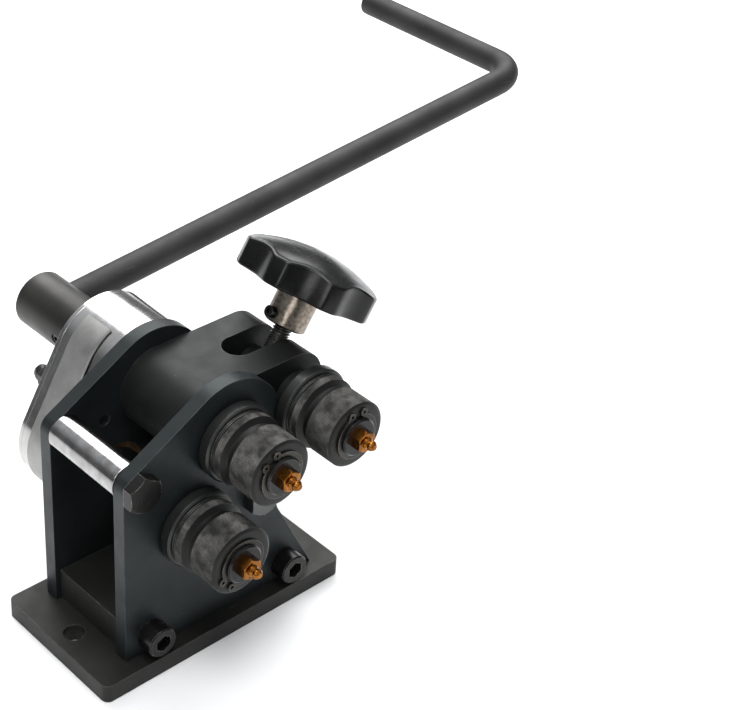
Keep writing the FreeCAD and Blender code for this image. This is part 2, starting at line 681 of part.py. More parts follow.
def put_key(name, shaft, angle, start, end):
    """A key, or the space of one, half in the shaft and half in what it drives."""
    body = block(name, "2 * key_depth", "(%s) - (%s)" % (end, start), "key_width")
    x = "%s_x + shaft_radius * cos(%s) + key_width / 2 * sin(%s)" % (shaft, angle, angle)
    y = "((%s) + (%s)) / 2" % (start, end)
    z = "%s_height + shaft_radius * sin(%s) - key_width / 2 * cos(%s)" % (shaft, angle, angle)
    return place(body, x, y, z, angle="-(%s)" % angle)


def on_shaft(shaft, item):
    return place(item, shaft + "_x", "0", shaft + "_height")


def shaft_profile(rear, extra):
    """Half section of a roller shaft, with its front circlip groove, from front to rear."""
    return [
        ("0", "-shaft_front"), ("shaft_radius - shaft_bevel", "-shaft_front"),
        ("shaft_radius", "-shaft_front + shaft_bevel"), ("shaft_radius", "-clip_front"),
        ("groove_floor", "-clip_front"), ("groove_floor", "-body_front"), ("shaft_radius", "-body_front")
    ] + extra + [
        ("shaft_radius", "%s - shaft_bevel" % rear), ("shaft_radius - shaft_bevel", rear), ("0", rear)]


def make_roller(shaft, key_angle, lug_angle):
    """The flange disc, the knurled roller, its circlip, key and grease nipple."""
    flange = turned(shaft + "_flange_solid", [
        ("bore", "-disc_back"), ("flange_radius - flange_bevel", "-disc_back"),
        ("flange_radius", "-disc_back - flange_bevel"), ("flange_radius", "-disc_front + flange_bevel"),
        ("flange_radius - flange_bevel", "-disc_front"), ("step_radius", "-disc_front"),
        ("step_radius", "-step_front"), ("bore", "-step_front")])
    keep(on_shaft(shaft, flange), shaft + "_flange")
    roller = turned(shaft + "_roller_solid", [
        ("bore", "-step_front"), ("relief_radius", "-step_front"), ("relief_radius", "-relief_front"),
        ("band_radius", "-relief_front"), ("band_radius", "-band_front"),
        ("waist_radius", "-band_front - waist_slope"), ("waist_radius", "-waist_front + waist_slope"),
        ("body_radius", "-waist_front"), ("body_radius", "-body_front + body_bevel / 2"),
        ("body_radius - body_bevel", "-body_front"), ("bore", "-body_front")])
    on_shaft(shaft, roller)
    start, end = "-body_front", "-body_front + key_length"
    slot = put_key(shaft + "_roller_slot", shaft, key_angle, start + " - 1", end)
    keep(cut(shaft + "_roller", roller, [slot]), shaft + "_roller")
    keep(put_key(shaft + "_key", shaft, key_angle, start + " + end_gap", end), shaft + "_key")
    make_circlip(shaft, shaft + "_circlip", lug_angle, "-clip_front", "-body_front")
    make_nipple(shaft)


def make_circlip(shaft, name, lug_angle, start, end):
    band = ring(name + "_band", "groove_floor + running_gap", "circlip_radius", start, end)
    before, after = start + " - 1", end + " + 1"
    lugs, eyes = [], []
    for sign in ("+", "-"):
        turn = "(%s %s circlip_opening / 2)" % (lug_angle, sign)
        x, z = "lug_offset * cos(%s)" % turn, "lug_offset * sin(%s)" % turn
        lugs.append(place(rod(name + "_lug", "lug_radius", start, end), x, "0", z))
        eyes.append(place(rod(name + "_eye", "lug_hole", before, after), x, "0", z))
    gap = new_body(name + "_gap")
    sketch = new_sketch(gap, "XZ_Plane")
    reach = "2 * circlip_radius"
    first, last = ("(%s %s circlip_opening / 2)" % (lug_angle, sign) for sign in ("-", "+"))
    draw_polygon(sketch, [
        ("0", "0"), ("%s * cos(%s)" % (reach, first), "%s * sin(%s)" % (reach, first)),
        ("%s * cos(%s)" % (reach, last), "%s * sin(%s)" % (reach, last))])
    pad(gap, sketch, "circlip_width + 2", flip=True)
    place(gap, y=before)
    solid = boolean("MultiFuse", name + "_solid", [cut(name + "_open", band, [gap])] + lugs)
    bore = rod(name + "_bore", "groove_floor + running_gap", before, after)
    keep(on_shaft(shaft, cut(name, solid, [bore] + eyes)), name)


def make_nipple(shaft):
    tip = turned(shaft + "_nipple_tip", [
        ("0", "-shaft_front + nipple_reach"), ("nipple_thread", "-shaft_front + nipple_reach"),
        ("nipple_thread", "-shaft_front - 1"), ("ball_radius", "-shaft_front - nipple_hex_height"),
        ("ball_radius", "-shaft_front - nipple_hex_height - 0.8"),
        ("ball_radius - 1", "-shaft_front - nipple_hex_height - 1.8"),
        ("ball_radius - 0.2", "-shaft_front - nipple_height + 2.4"),
        ("ball_radius - 0.2", "-shaft_front - nipple_height + 1.6"),
        ("ball_radius - 1.4", "-shaft_front - nipple_height"), ("0", "-shaft_front - nipple_height")])
    flats = hexagon_head(shaft + "_nipple_hex", "nipple_hex", "nipple_hex_height")
    place(flats, y="-shaft_front - nipple_hex_height")
    keep(on_shaft(shaft, boolean("MultiFuse", shaft + "_nipple", [tip, flats])), shaft + "_nipple")


def nipple_thread(shaft):
    end = "-shaft_front + nipple_reach + 0.5"
    hole = rod(shaft + "_nipple_hole", "nipple_thread + running_gap", "-shaft_front - 1", end)
    return on_shaft(shaft, hole)


def make_geared_shaft(shaft, key_angle, rear, hub_end, groove):
    """A shaft with its gear, both keyways and both keys."""
    solid = on_shaft(shaft, turned(shaft + "_shaft_solid", shaft_profile(rear, groove)))
    front = put_key(shaft + "_shaft_slot", shaft, key_angle, "-body_front - 1", "-body_front + key_length")
    gear_start, gear_end = "gear_back + gear_key_inset", "gear_rear - gear_key_inset"
    back = put_key(shaft + "_shaft_rear_slot", shaft, "lower_angle + 90", gear_start, gear_end)
    keep(cut(shaft + "_shaft", solid, [front, back, nipple_thread(shaft)]), shaft + "_shaft")
    body = new_body(shaft + "_gear_wheel")
    sketch = new_sketch(body, "XZ_Plane")
    draw_circle(sketch, "0", "0", "gear_root")
    pad(body, sketch, "gear_width", flip=True)
    tooth_sketch = new_sketch(body, "XZ_Plane", "Tooth")
    draw_polygon(tooth_sketch, tooth_corners())
    tooth = pad(body, tooth_sketch, "gear_width", flip=True)
    document.recompute()
    pattern = body.newObject("PartDesign::PolarPattern", "Teeth")
    pattern.Originals = [tooth]
    pattern.Axis = (next(f for f in body.Origin.OriginFeatures if f.Role == "Y_Axis"), [""])
    pattern.Angle = 360
    bind(pattern, "Occurrences", "gear_teeth")
    body.Tip = pattern
    turn = "lower_angle" if shaft == "center" else "lower_angle - 180 + 180 / gear_teeth"
    place(body, shaft + "_x", "gear_back", shaft + "_height", angle="-(%s)" % turn)
    hub = on_shaft(shaft, rod(shaft + "_gear_hub", "gear_hub", "plate_face + end_gap", hub_end))
    wheel = boolean("MultiFuse", shaft + "_gear_solid", [body, hub])
    bore = on_shaft(shaft, rod(shaft + "_gear_bore", "bore", "plate_face - 1", hub_end + " + 1"))
    slot = put_key(shaft + "_gear_slot", shaft, "lower_angle + 90", "plate_face - 1", hub_end + " + 1")
    keep(cut(shaft + "_gear", wheel, [bore, slot]), shaft + "_gear")
    keep(put_key(shaft + "_gear_key", shaft, "lower_angle + 90", gear_start, gear_end), shaft + "_gear_key")


def tooth_corners():
    """One involute tooth about the sketch's X axis, as points on its flanks."""
    steps = (0, 0.2, 0.4, 0.6, 0.8, 1)
    base = "(gear_pitch * cos(pressure_face))"
    play = "gear_backlash / 2 / gear_pitch * 180 / pi"
    half = "(90 / gear_teeth + tan(pressure_face) * 180 / pi - pressure_face - %s" % play
    flank = [("gear_root - 0.3", half + " - 0)")]
    for step in steps:
        radius = "(%s + 0.01 + (gear_tip - %s - 0.01) * %s)" % (base, base, step)
        pressure = "(acos(%s / %s) / (1 deg))" % (base, radius)
        flank.append((radius, half + " - (tan(%s) * 180 / pi - %s))" % (pressure, pressure)))
    upper = [("(%s) * cos(%s)" % (r, a), "(%s) * sin(%s)" % (r, a)) for r, a in flank]
    lower = [(x, "-(%s)" % y) for x, y in reversed(upper)]
    return upper + lower


def make_drive():
    make_roller("center", "center_key_angle", "center_lug_angle")
    make_geared_shaft("center", "center_key_angle", "center_shaft_rear",
                      "band_rear - cover_bush_lip - hub_gap", [])
    hub = on_shaft("center", turned("hub_solid", [
        ("0", "hub_front"), ("hub_radius - hub_bevel", "hub_front"), ("hub_radius", "hub_front + hub_bevel"),
        ("hub_radius", "hub_rear - hub_bevel"), ("hub_radius - hub_bevel", "hub_rear"), ("0", "hub_rear")]))
    bore = on_shaft("center", rod("hub_bore", "bore", "hub_front - 1", "center_shaft_rear + 0.5"))
    inner = "-crank_tail - end_gap"
    cross = rod("hub_cross_hole", "crank_radius + running_gap", inner, "2 * hub_radius", axis="z")
    place(cross, "center_x", "crank_y", "center_height", angle="90 - crank_angle")
    thread = "set_screw_radius + running_gap"
    side = rod("hub_side_hole", thread, "shaft_radius - 1", "hub_radius + 1", axis="z")
    seat = ("center_x", "hub_front + hub_screw_setback", "center_height")
    place(side, *seat, angle="90 - hub_screw_angle")
    end = on_shaft("center", rod("hub_end_hole", thread, "crank_y", "hub_rear + 1"))
    keep(cut("crank_hub", hub, [bore, cross, side, end]), "crank_hub")
    top = "hub_radius - set_screw_sink"
    solid = rod("hub_side_screw_solid", "set_screw_radius", "shaft_radius + 2 * running_gap", top, axis="z")
    socket = hexagon("hub_side_socket", "set_screw_socket", "hub_radius", axis="z")
    first = cut("hub_side_screw", solid, [place(socket, z=top + " - set_socket_depth")])
    place(first, *seat, angle="90 - hub_screw_angle")
    top = "hub_rear - set_screw_sink"
    solid = rod("hub_end_screw_solid", "set_screw_radius", "crank_y + crank_radius + 2 * running_gap", top)
    socket = hexagon("hub_end_socket", "set_screw_socket", "hub_radius")
    second = on_shaft("center", cut("hub_end_screw", solid, [place(socket, y=top + " - end_socket_depth")]))
    keep(boolean("Compound", "hub_set_screws", [first, second]), "hub_set_screws")
    make_crank()


def make_crank():
    """The rod: from inside the hub along its arm, a quarter bend and back along Y to the handle's end."""
    body = new_body("crank_rod")
    path = new_sketch(body, "XY_Plane", "Path")
    start, length, handle = "crank_tail", "crank_reach", "handle_length"
    corner = Vector(value("%s + %s - crank_bend" % (start, length)), value("crank_bend"), 0)
    along = path.addGeometry(Part.LineSegment(Vector(0, 0, 0), Vector(corner.x, 0, 0)))
    back = path.addGeometry(Part.LineSegment(
        Vector(corner.x + corner.y, corner.y, 0), Vector(corner.x + corner.y, value(handle), 0)))
    circle = Part.Circle(corner, Vector(0, 0, 1), corner.y)
    bend = path.addGeometry(Part.ArcOfCircle(circle, -math.pi / 2, 0))
    path.addConstraint(Sketcher.Constraint("Coincident", along, 1, -1, 1))
    path.addConstraint(Sketcher.Constraint("Horizontal", along))
    path.addConstraint(Sketcher.Constraint("Vertical", back))
    path.addConstraint(Sketcher.Constraint("Tangent", along, 2, bend, 1))
    path.addConstraint(Sketcher.Constraint("Tangent", back, 1, bend, 2))
    rule = Sketcher.Constraint("Radius", bend, corner.y)
    bind(path, "Constraints[%d]" % path.addConstraint(rule), "crank_bend")
    locate(path, back, 2, "%s + %s" % (start, length), handle)
    section = new_sketch(body, "YZ_Plane", "Section")
    draw_circle(section, "0", "0", "crank_radius")
    pipe = body.newObject("PartDesign::AdditivePipe", "Rod")
    pipe.Profile = section
    pipe.Spine = (path, [])

    def at_end(edge):
        if edge.Curve.TypeId != "Part::GeomCircle" or abs(edge.Curve.Radius - value("crank_radius")) > CLOSE:
            return False
        middle = edge.CenterOfMass
        return abs(middle.x) < CLOSE or abs(middle.y - value(handle)) < CLOSE

    dress(body, "Chamfer", "Size", "shaft_bevel", at_end)
    place(body, "center_x - (%s) * cos(crank_angle)" % start, "crank_y",
          "center_height - (%s) * sin(crank_angle)" % start, angle="-crank_angle")
    keep(body, "crank_rod")


def make_lower():
    make_roller("lower", "lower_key_angle", "lower_lug_angle")
    start = "gear_rear + gear_groove"
    end = start + " + circlip_width"
    groove = [("shaft_radius", start), ("groove_floor", start), ("groove_floor", end), ("shaft_radius", end)]
    make_geared_shaft("lower", "lower_key_angle", end + " + lower_tail", start + " - 2 * running_gap", groove)
    make_circlip("lower", "lower_rear_circlip", "lower_angle", start, end)


def make_arm():
    body = new_body("arm_solid")
    sketch = new_sketch(body, "XZ_Plane")
    draw_belt(sketch, [
        ("0", "0", "arm_boss"),
        ("arm_reach - arm_corner", "arm_half - arm_corner", "arm_corner"),
        ("arm_reach - arm_corner", "arm_corner - arm_half", "arm_corner")])
    draw_circle(sketch, "0", "0", "bush_seat")
    draw_circle(sketch, "arm_radius * cos(pressure_angle)", "arm_radius * sin(pressure_angle)", "bore")
    pad(body, sketch, "2 * cheek", midplane=True)
    fork = new_sketch(body, "XY_Plane", "Fork")
    middle = "slot_start + cheek_inner"
    draw_belt(fork, [
        (middle, "0", "cheek_inner"), ("2 * arm_reach", "cheek_inner", "0"),
        ("2 * arm_reach", "-cheek_inner", "0")])
    slot = body.newObject("PartDesign::Pocket", "Slot")
    slot.Profile = fork
    bind(slot, "Length", "4 * arm_boss")
    slot.Midplane = True
    place(body, "center_x", "0", "center_height")
    pin_x = "pressure_x + shaft_radius"
    pin_top = "pressure_height + retainer_length / 4"
    hole = rod("retainer_hole", "retainer_radius + running_gap", "-2 * arm_boss", "end_gap", axis="z")
    place(hole, pin_x, "-retainer_y", pin_top)
    keep(cut("pressure_arm", body, [hole]), "pressure_arm")
    pin = rod("shaft_retainer", "retainer_radius", "-retainer_length", "0", axis="z")
    keep(place(pin, pin_x, "-retainer_y", pin_top), "shaft_retainer")
    keep(on_shaft("center", ring("arm_bush", "bore", "bush_radius", "-cheek", "cheek")), "arm_bush")


def make_pressure_roller():
    make_roller("pressure", "pressure_key_angle", "pressure_lug_angle")
    start, end = "-retainer_y - retainer_radius - end_gap", "-retainer_y + retainer_radius + end_gap"
    floor = "shaft_radius - retainer_radius - end_gap"
    groove = [("shaft_radius", start), (floor, start), (floor, end), ("shaft_radius", end)]
    solid = on_shaft("pressure", turned("pressure_shaft_solid", shaft_profile("-shaft_inner_end", groove)))
    start, end = "-body_front - 1", "-body_front + key_length"
    slot = put_key("pressure_shaft_slot", "pressure", "pressure_key_angle", start, end)
    keep(cut("pressure_shaft", solid, [slot, nipple_thread("pressure")]), "pressure_shaft")
    spacer = ring("pressure_spacer", "bore", "spacer_radius", "-disc_back", "-cheek - 2 * running_gap")
    keep(on_shaft("pressure", spacer), "pressure_spacer")


def on_screw(item):
    """Stand an item on the anchor bolt, leaning toward the pressure roller's axis."""
    return place(item, "anchor_x", "0", "anchor_height", angle="screw_lean")


def make_screw():
    body = new_body("trunnion_solid")
    sketch = new_sketch(body, "XZ_Plane")
    draw_belt(sketch, [
        ("0", "0", "trunnion_radius"), ("-trunnion_neck", "trunnion_height", "0"),
        ("trunnion_neck", "trunnion_height", "0")])
    draw_circle(sketch, "0", "0", "bolt_hole")
    pad(body, sketch, "block_thickness", midplane=True)
    bore = "journal_radius + running_gap"
    journal = rod("journal_bore", bore, "journal_floor", "2 * trunnion_height", axis="z")
    pin_hole = rod("journal_pin_hole", "journal_pin + running_gap", "-block_thickness", "block_thickness")
    pin_x, pin_end = "journal_radius + end_gap", "block_thickness / 2 - end_gap"
    place(pin_hole, pin_x, "0", "journal_pin_height")
    keep(on_screw(cut("trunnion_block", body, [journal, pin_hole])), "trunnion_block")
    pin = rod("journal_pin_solid", "journal_pin", "-(%s)" % pin_end, pin_end)
    place(pin, pin_x, "0", "journal_pin_height")
    keep(on_screw(boolean("Compound", "journal_pin", [pin])), "journal_pin")
    groove = "journal_radius - journal_pin + 2 * running_gap"
    low = "journal_pin_height - journal_pin - 2 * running_gap"
    high = "journal_pin_height + journal_pin + 2 * running_gap"
    shoulder, tip = "trunnion_height + end_gap", "collar_end + knob_rim / 2"
    screw = turned("adjusting_screw", [
        ("0", "journal_floor + end_gap"), ("journal_radius", "journal_floor + end_gap"),
        ("journal_radius", low), (groove, low), (groove, high),
        ("journal_radius", high), ("journal_radius", shoulder),
        ("screw_radius", shoulder), ("screw_radius", tip), ("0", tip)], axis="z")
    keep(on_screw(screw), "adjusting_screw")
    make_collar()
    make_knob()


def make_collar():
    """The collar under the knob, and the set screw that stands out of its side."""
    collar = turned("collar_solid", [
        ("screw_radius + running_gap", "collar_start"), ("collar_radius - edge_bevel", "collar_start"),
        ("collar_radius", "collar_start + edge_bevel"), ("collar_radius", "collar_end"),
        ("screw_radius + running_gap", "collar_end")], axis="z")
    spot = {"z": "collar_start + collar_screw_rise", "axis": (0, 0, 1), "angle": "180 - collar_screw_turn"}
    side = cross_rod("collar_hole", "set_screw_radius + running_gap", "screw_radius - 1", "2 * collar_radius")
    keep(on_screw(cut("knob_collar", collar, [place(side, **spot)])), "knob_collar")
    end = "collar_radius + collar_screw_proud"
    grub = cross_rod("grub_solid", "set_screw_radius", "screw_radius + 2 * running_gap", end)
    socket = hexagon("grub_socket", "set_screw_socket", "collar_radius")
    socket.Placement = FreeCAD.Placement(Vector(0, 0, 0), FreeCAD.Rotation(Vector(0, 0, 1), -90))
    bind(socket, "Placement.Base.x", end + " - set_socket_depth")
    solid = place(cut("grub_screw", grub, [socket]), **spot)
    keep(on_screw(boolean("Compound", "collar_set_screw", [solid])), "collar_set_screw")


def cross_rod(name, radius, start, end):
    """A plain rod along X from its own origin."""
    body = new_body(name)
    sketch = new_sketch(body, "XY_Plane")
    draw_polygon(sketch, [(start, "0"), (end, "0"), (end, radius), (start, radius)])
    turn = body.newObject("PartDesign::Revolution", "Turn")
    turn.Profile = sketch
    turn.ReferenceAxis = (sketch, ["H_Axis"])
    turn.Angle = 360
    return body


def make_knob():
    body = turned("knob_solid", [
        ("0", "collar_end"), ("knob_radius - knob_rounding", "collar_end"),
        ("knob_radius", "collar_end + knob_rounding"), ("knob_radius", "rim_end - knob_rounding"),
        ("knob_radius - knob_rounding", "rim_end"),
        ("knob_radius * 0.75", "rim_end + knob_crown * 0.46"),
        ("knob_radius * 0.5", "rim_end + knob_crown * 0.76"),
        ("knob_radius * 0.25", "rim_end + knob_crown * 0.95"), ("0", "rim_end + knob_crown")], axis="z")
    sketch = new_sketch(body, "XY_Plane", "Scallop")
    middle = "(knob_radius + knob_scallop - knob_scallop_depth)"
    draw_circle(sketch, middle + " * cos(knob_turn)", middle + " * sin(knob_turn)", "knob_scallop")
    scallop = body.newObject("PartDesign::Pocket", "Scallop")
    scallop.Profile = sketch
    bind(scallop, "Length", "4 * (rim_end + knob_crown)")
    scallop.Midplane = True
    document.recompute()
    pattern = body.newObject("PartDesign::PolarPattern", "Scallops")
    pattern.Originals = [scallop]
    pattern.Axis = (next(f for f in body.Origin.OriginFeatures if f.Role == "Z_Axis"), [""])
    pattern.Angle = 360
    bind(pattern, "Occurrences", "knob_lobes")
    body.Tip = pattern
    depth = "collar_end + knob_rim / 2 + end_gap"
    bore = rod("knob_bore", "screw_radius + running_gap", "collar_end - 1", depth, axis="z")
    keep(on_screw(cut("knob", body, [bore])), "knob")


def make_swivel_nut():
    barrel = on_shaft("pressure", turned("barrel", [
        ("0", "-shaft_inner_end + nut_tail"), ("shaft_radius", "-shaft_inner_end + nut_tail"),
        ("shaft_radius", "cheek - nut_tail"), ("0", "cheek - nut_tail")]))
    thread = rod("barrel_thread", "screw_radius + screw_gap", "0", "collar_start", axis="z")
    keep(cut("swivel_nut", barrel, [on_screw(thread)]), "swivel_nut")


base_spots = make_base()
make_block(base_spots)
make_side_plates()
make_bushes()
make_tie_bolts()
make_housing()
make_drive()
make_lower()
make_arm()
make_pressure_roller()
make_screw()
make_swivel_nut()
document.recompute()

for item in document.Objects:
    if "Invalid" in item.State or "Error" in item.State:
        raise RuntimeError("%s (%s) is %s" % (item.Label, item.Name, item.State))
for item in pieces:
    if item.Shape.isNull() or not item.Shape.isValid() or not item.Shape.Solids:
        raise RuntimeError("%s has no valid shape" % item.Label)

os.makedirs("parts", exist_ok=True)
for item in pieces:
    item.Shape.exportStep("parts/%s.step" % item.Label)
    print("%-22s %2d solids %12.1f mm3" % (item.Label, len(item.Shape.Solids), item.Shape.Volume))
print(len(pieces), "sub-parts")
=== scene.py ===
"""Ring roller: finish, knurling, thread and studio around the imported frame.

Lengths are in metres and angles in radians.
"""
import json
import math

import bmesh
import bpy
from mathutils import Matrix, Vector


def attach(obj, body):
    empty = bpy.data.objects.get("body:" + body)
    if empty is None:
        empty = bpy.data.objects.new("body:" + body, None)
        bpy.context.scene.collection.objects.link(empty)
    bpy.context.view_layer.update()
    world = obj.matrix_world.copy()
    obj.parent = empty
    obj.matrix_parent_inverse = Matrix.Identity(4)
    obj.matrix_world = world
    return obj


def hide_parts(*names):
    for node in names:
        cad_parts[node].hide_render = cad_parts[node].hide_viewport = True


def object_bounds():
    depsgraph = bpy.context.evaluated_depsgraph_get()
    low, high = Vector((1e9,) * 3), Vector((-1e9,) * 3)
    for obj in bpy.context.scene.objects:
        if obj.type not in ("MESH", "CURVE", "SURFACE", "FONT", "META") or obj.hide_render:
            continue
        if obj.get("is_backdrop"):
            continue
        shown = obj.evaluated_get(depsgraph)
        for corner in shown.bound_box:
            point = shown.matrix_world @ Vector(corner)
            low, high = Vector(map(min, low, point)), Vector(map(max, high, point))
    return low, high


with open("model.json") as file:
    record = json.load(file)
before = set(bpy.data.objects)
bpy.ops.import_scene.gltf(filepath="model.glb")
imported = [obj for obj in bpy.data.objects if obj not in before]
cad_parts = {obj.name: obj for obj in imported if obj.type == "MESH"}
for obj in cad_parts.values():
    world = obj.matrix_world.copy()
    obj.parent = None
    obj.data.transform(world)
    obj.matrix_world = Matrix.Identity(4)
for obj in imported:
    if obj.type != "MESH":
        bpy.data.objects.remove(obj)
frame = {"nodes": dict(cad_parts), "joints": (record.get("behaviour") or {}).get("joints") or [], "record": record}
cad_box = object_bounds()

MM = 0.001
JOINTS = {joint["name"]: joint for joint in frame["joints"]}
BODY_OF = {node: body for body, nodes in frame["record"]["behaviour"]["bodies"].items() for node in nodes}
SLOT_OF = {part["node"]: part["material_slot"] for part in frame["record"]["subparts"]}
SHAFTS = {
    "center": Vector(JOINTS["crank_turn"]["pos_m"]),
    "lower": Vector(JOINTS["lower_turn"]["pos_m"]),
    "pressure": Vector(JOINTS["pressure_turn"]["pos_m"]),
}
ANCHOR = Vector(JOINTS["knob_spin"]["pos_m"])
SCREW_AXIS = Vector(JOINTS["knob_spin"]["axis"]).normalized()


# Camera at the photograph's viewing angle

PHOTO_WIDTH, PHOTO_HEIGHT = 733, 710
FOCAL_PIXELS = 1727.14
CAMERA_AT = Vector((-0.42117, -0.53703, 0.60487))
CAMERA_AZIMUTH, CAMERA_ELEVATION, CAMERA_ROLL = math.radians(-45.94), math.radians(31.39), math.radians(4.33)
OPTICAL_CENTRE = (381.24, 288.75)


def make_camera():
    data = bpy.data.cameras.new("camera")
    data.sensor_width = 36.0
    data.lens = FOCAL_PIXELS * data.sensor_width / PHOTO_WIDTH
    data.shift_x = (PHOTO_WIDTH / 2 - OPTICAL_CENTRE[0]) / PHOTO_WIDTH
    data.shift_y = -(PHOTO_HEIGHT / 2 - OPTICAL_CENTRE[1]) / PHOTO_WIDTH
    data.clip_start, data.clip_end = 0.01, 50
    camera = bpy.data.objects.new("camera", data)
    bpy.context.scene.collection.objects.link(camera)
    back = Vector((math.sin(CAMERA_AZIMUTH) * math.cos(CAMERA_ELEVATION),
                   -math.cos(CAMERA_AZIMUTH) * math.cos(CAMERA_ELEVATION), math.sin(CAMERA_ELEVATION)))
    right = Vector((math.cos(CAMERA_AZIMUTH), math.sin(CAMERA_AZIMUTH), 0))
    up = back.cross(right)
    turn = Matrix((right, up, back)).transposed()
    roll = Matrix.Rotation(CAMERA_ROLL, 3, "Z")
    camera.matrix_world = Matrix.Translation(CAMERA_AT) @ (turn @ roll).to_4x4()
    bpy.context.scene.camera = camera


# Studio: pale floor, soft light

# Where the world's light rises from the horizon's strength to the ceiling's
WORLD_RISE = (("From Min", 0.25), ("From Max", 0.85), ("To Min", 0.2), ("To Max", 0.9))
WORLD_COLOUR = (0.95, 0.97, 1.0, 1)
# Name, place, aim, sides and power in watts
LAMPS = (
    ("soft_box", (0.85, 0.95, 1.45), (0.05, 0, 0.08), (1.9, 1.7), 52),
    ("left", (-1.3, -0.9, 0.9), (0, 0, 0.1), (0.6, 0.6), 5),
    ("overhead", (-0.35, -0.45, 1.7), (0, 0, 0.08), (0.9, 0.9), 20),
)
FLOOR_SIZE, FLOOR_DROP, FLOOR_ALBEDO = 8, 0.2 * MM, 0.82


def add_area(name, place, aim, sides, power):
    data = bpy.data.lights.new(name, "AREA")
    data.shape, data.size, data.size_y, data.energy = "RECTANGLE", sides[0], sides[1], power
    lamp = bpy.data.objects.new(name, data)
    bpy.context.scene.collection.objects.link(lamp)
    lamp.location = place
    lamp.rotation_euler = (Vector(aim) - Vector(place)).to_track_quat("-Z", "Y").to_euler()


def make_world():
    """A dark horizon and a bright ceiling."""
    world = bpy.data.worlds.new("studio")
    bpy.context.scene.world = world
    world.use_nodes = True
    nodes, links = world.node_tree.nodes, world.node_tree.links
    direction = nodes.new("ShaderNodeTexCoord").outputs["Generated"]
    split = nodes.new("ShaderNodeSeparateXYZ")
    links.new(direction, split.inputs[0])
    rise = nodes.new("ShaderNodeMapRange")
    rise.interpolation_type = "SMOOTHSTEP"
    links.new(split.outputs[2], rise.inputs["Value"])
    for name, number in WORLD_RISE:
        rise.inputs[name].default_value = number
    links.new(rise.outputs[0], nodes["Background"].inputs["Strength"])
    nodes["Background"].inputs["Color"].default_value = WORLD_COLOUR


def make_floor():
    bpy.ops.mesh.primitive_plane_add(size=FLOOR_SIZE, location=(0, 0, -FLOOR_DROP))
    floor = bpy.context.object
    floor.name = "floor"
    material = bpy.data.materials.new("floor_paper")
    material.use_nodes = True
    shader = material.node_tree.nodes["Principled BSDF"]
    shader.inputs["Base Color"].default_value = (FLOOR_ALBEDO, FLOOR_ALBEDO, FLOOR_ALBEDO, 1)
    shader.inputs["Roughness"].default_value = 0.9
    shader.inputs["Specular IOR Level"].default_value = 0.2
    floor.data.materials.append(material)
    floor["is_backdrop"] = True


def make_studio():
    """A graded world, one large soft box behind and above, two small lamps, and a pale floor."""
    make_world()
    for lamp in LAMPS:
        add_area(*lamp)
    make_floor()
    bpy.context.scene.view_settings.view_transform = "Standard"


# Materials

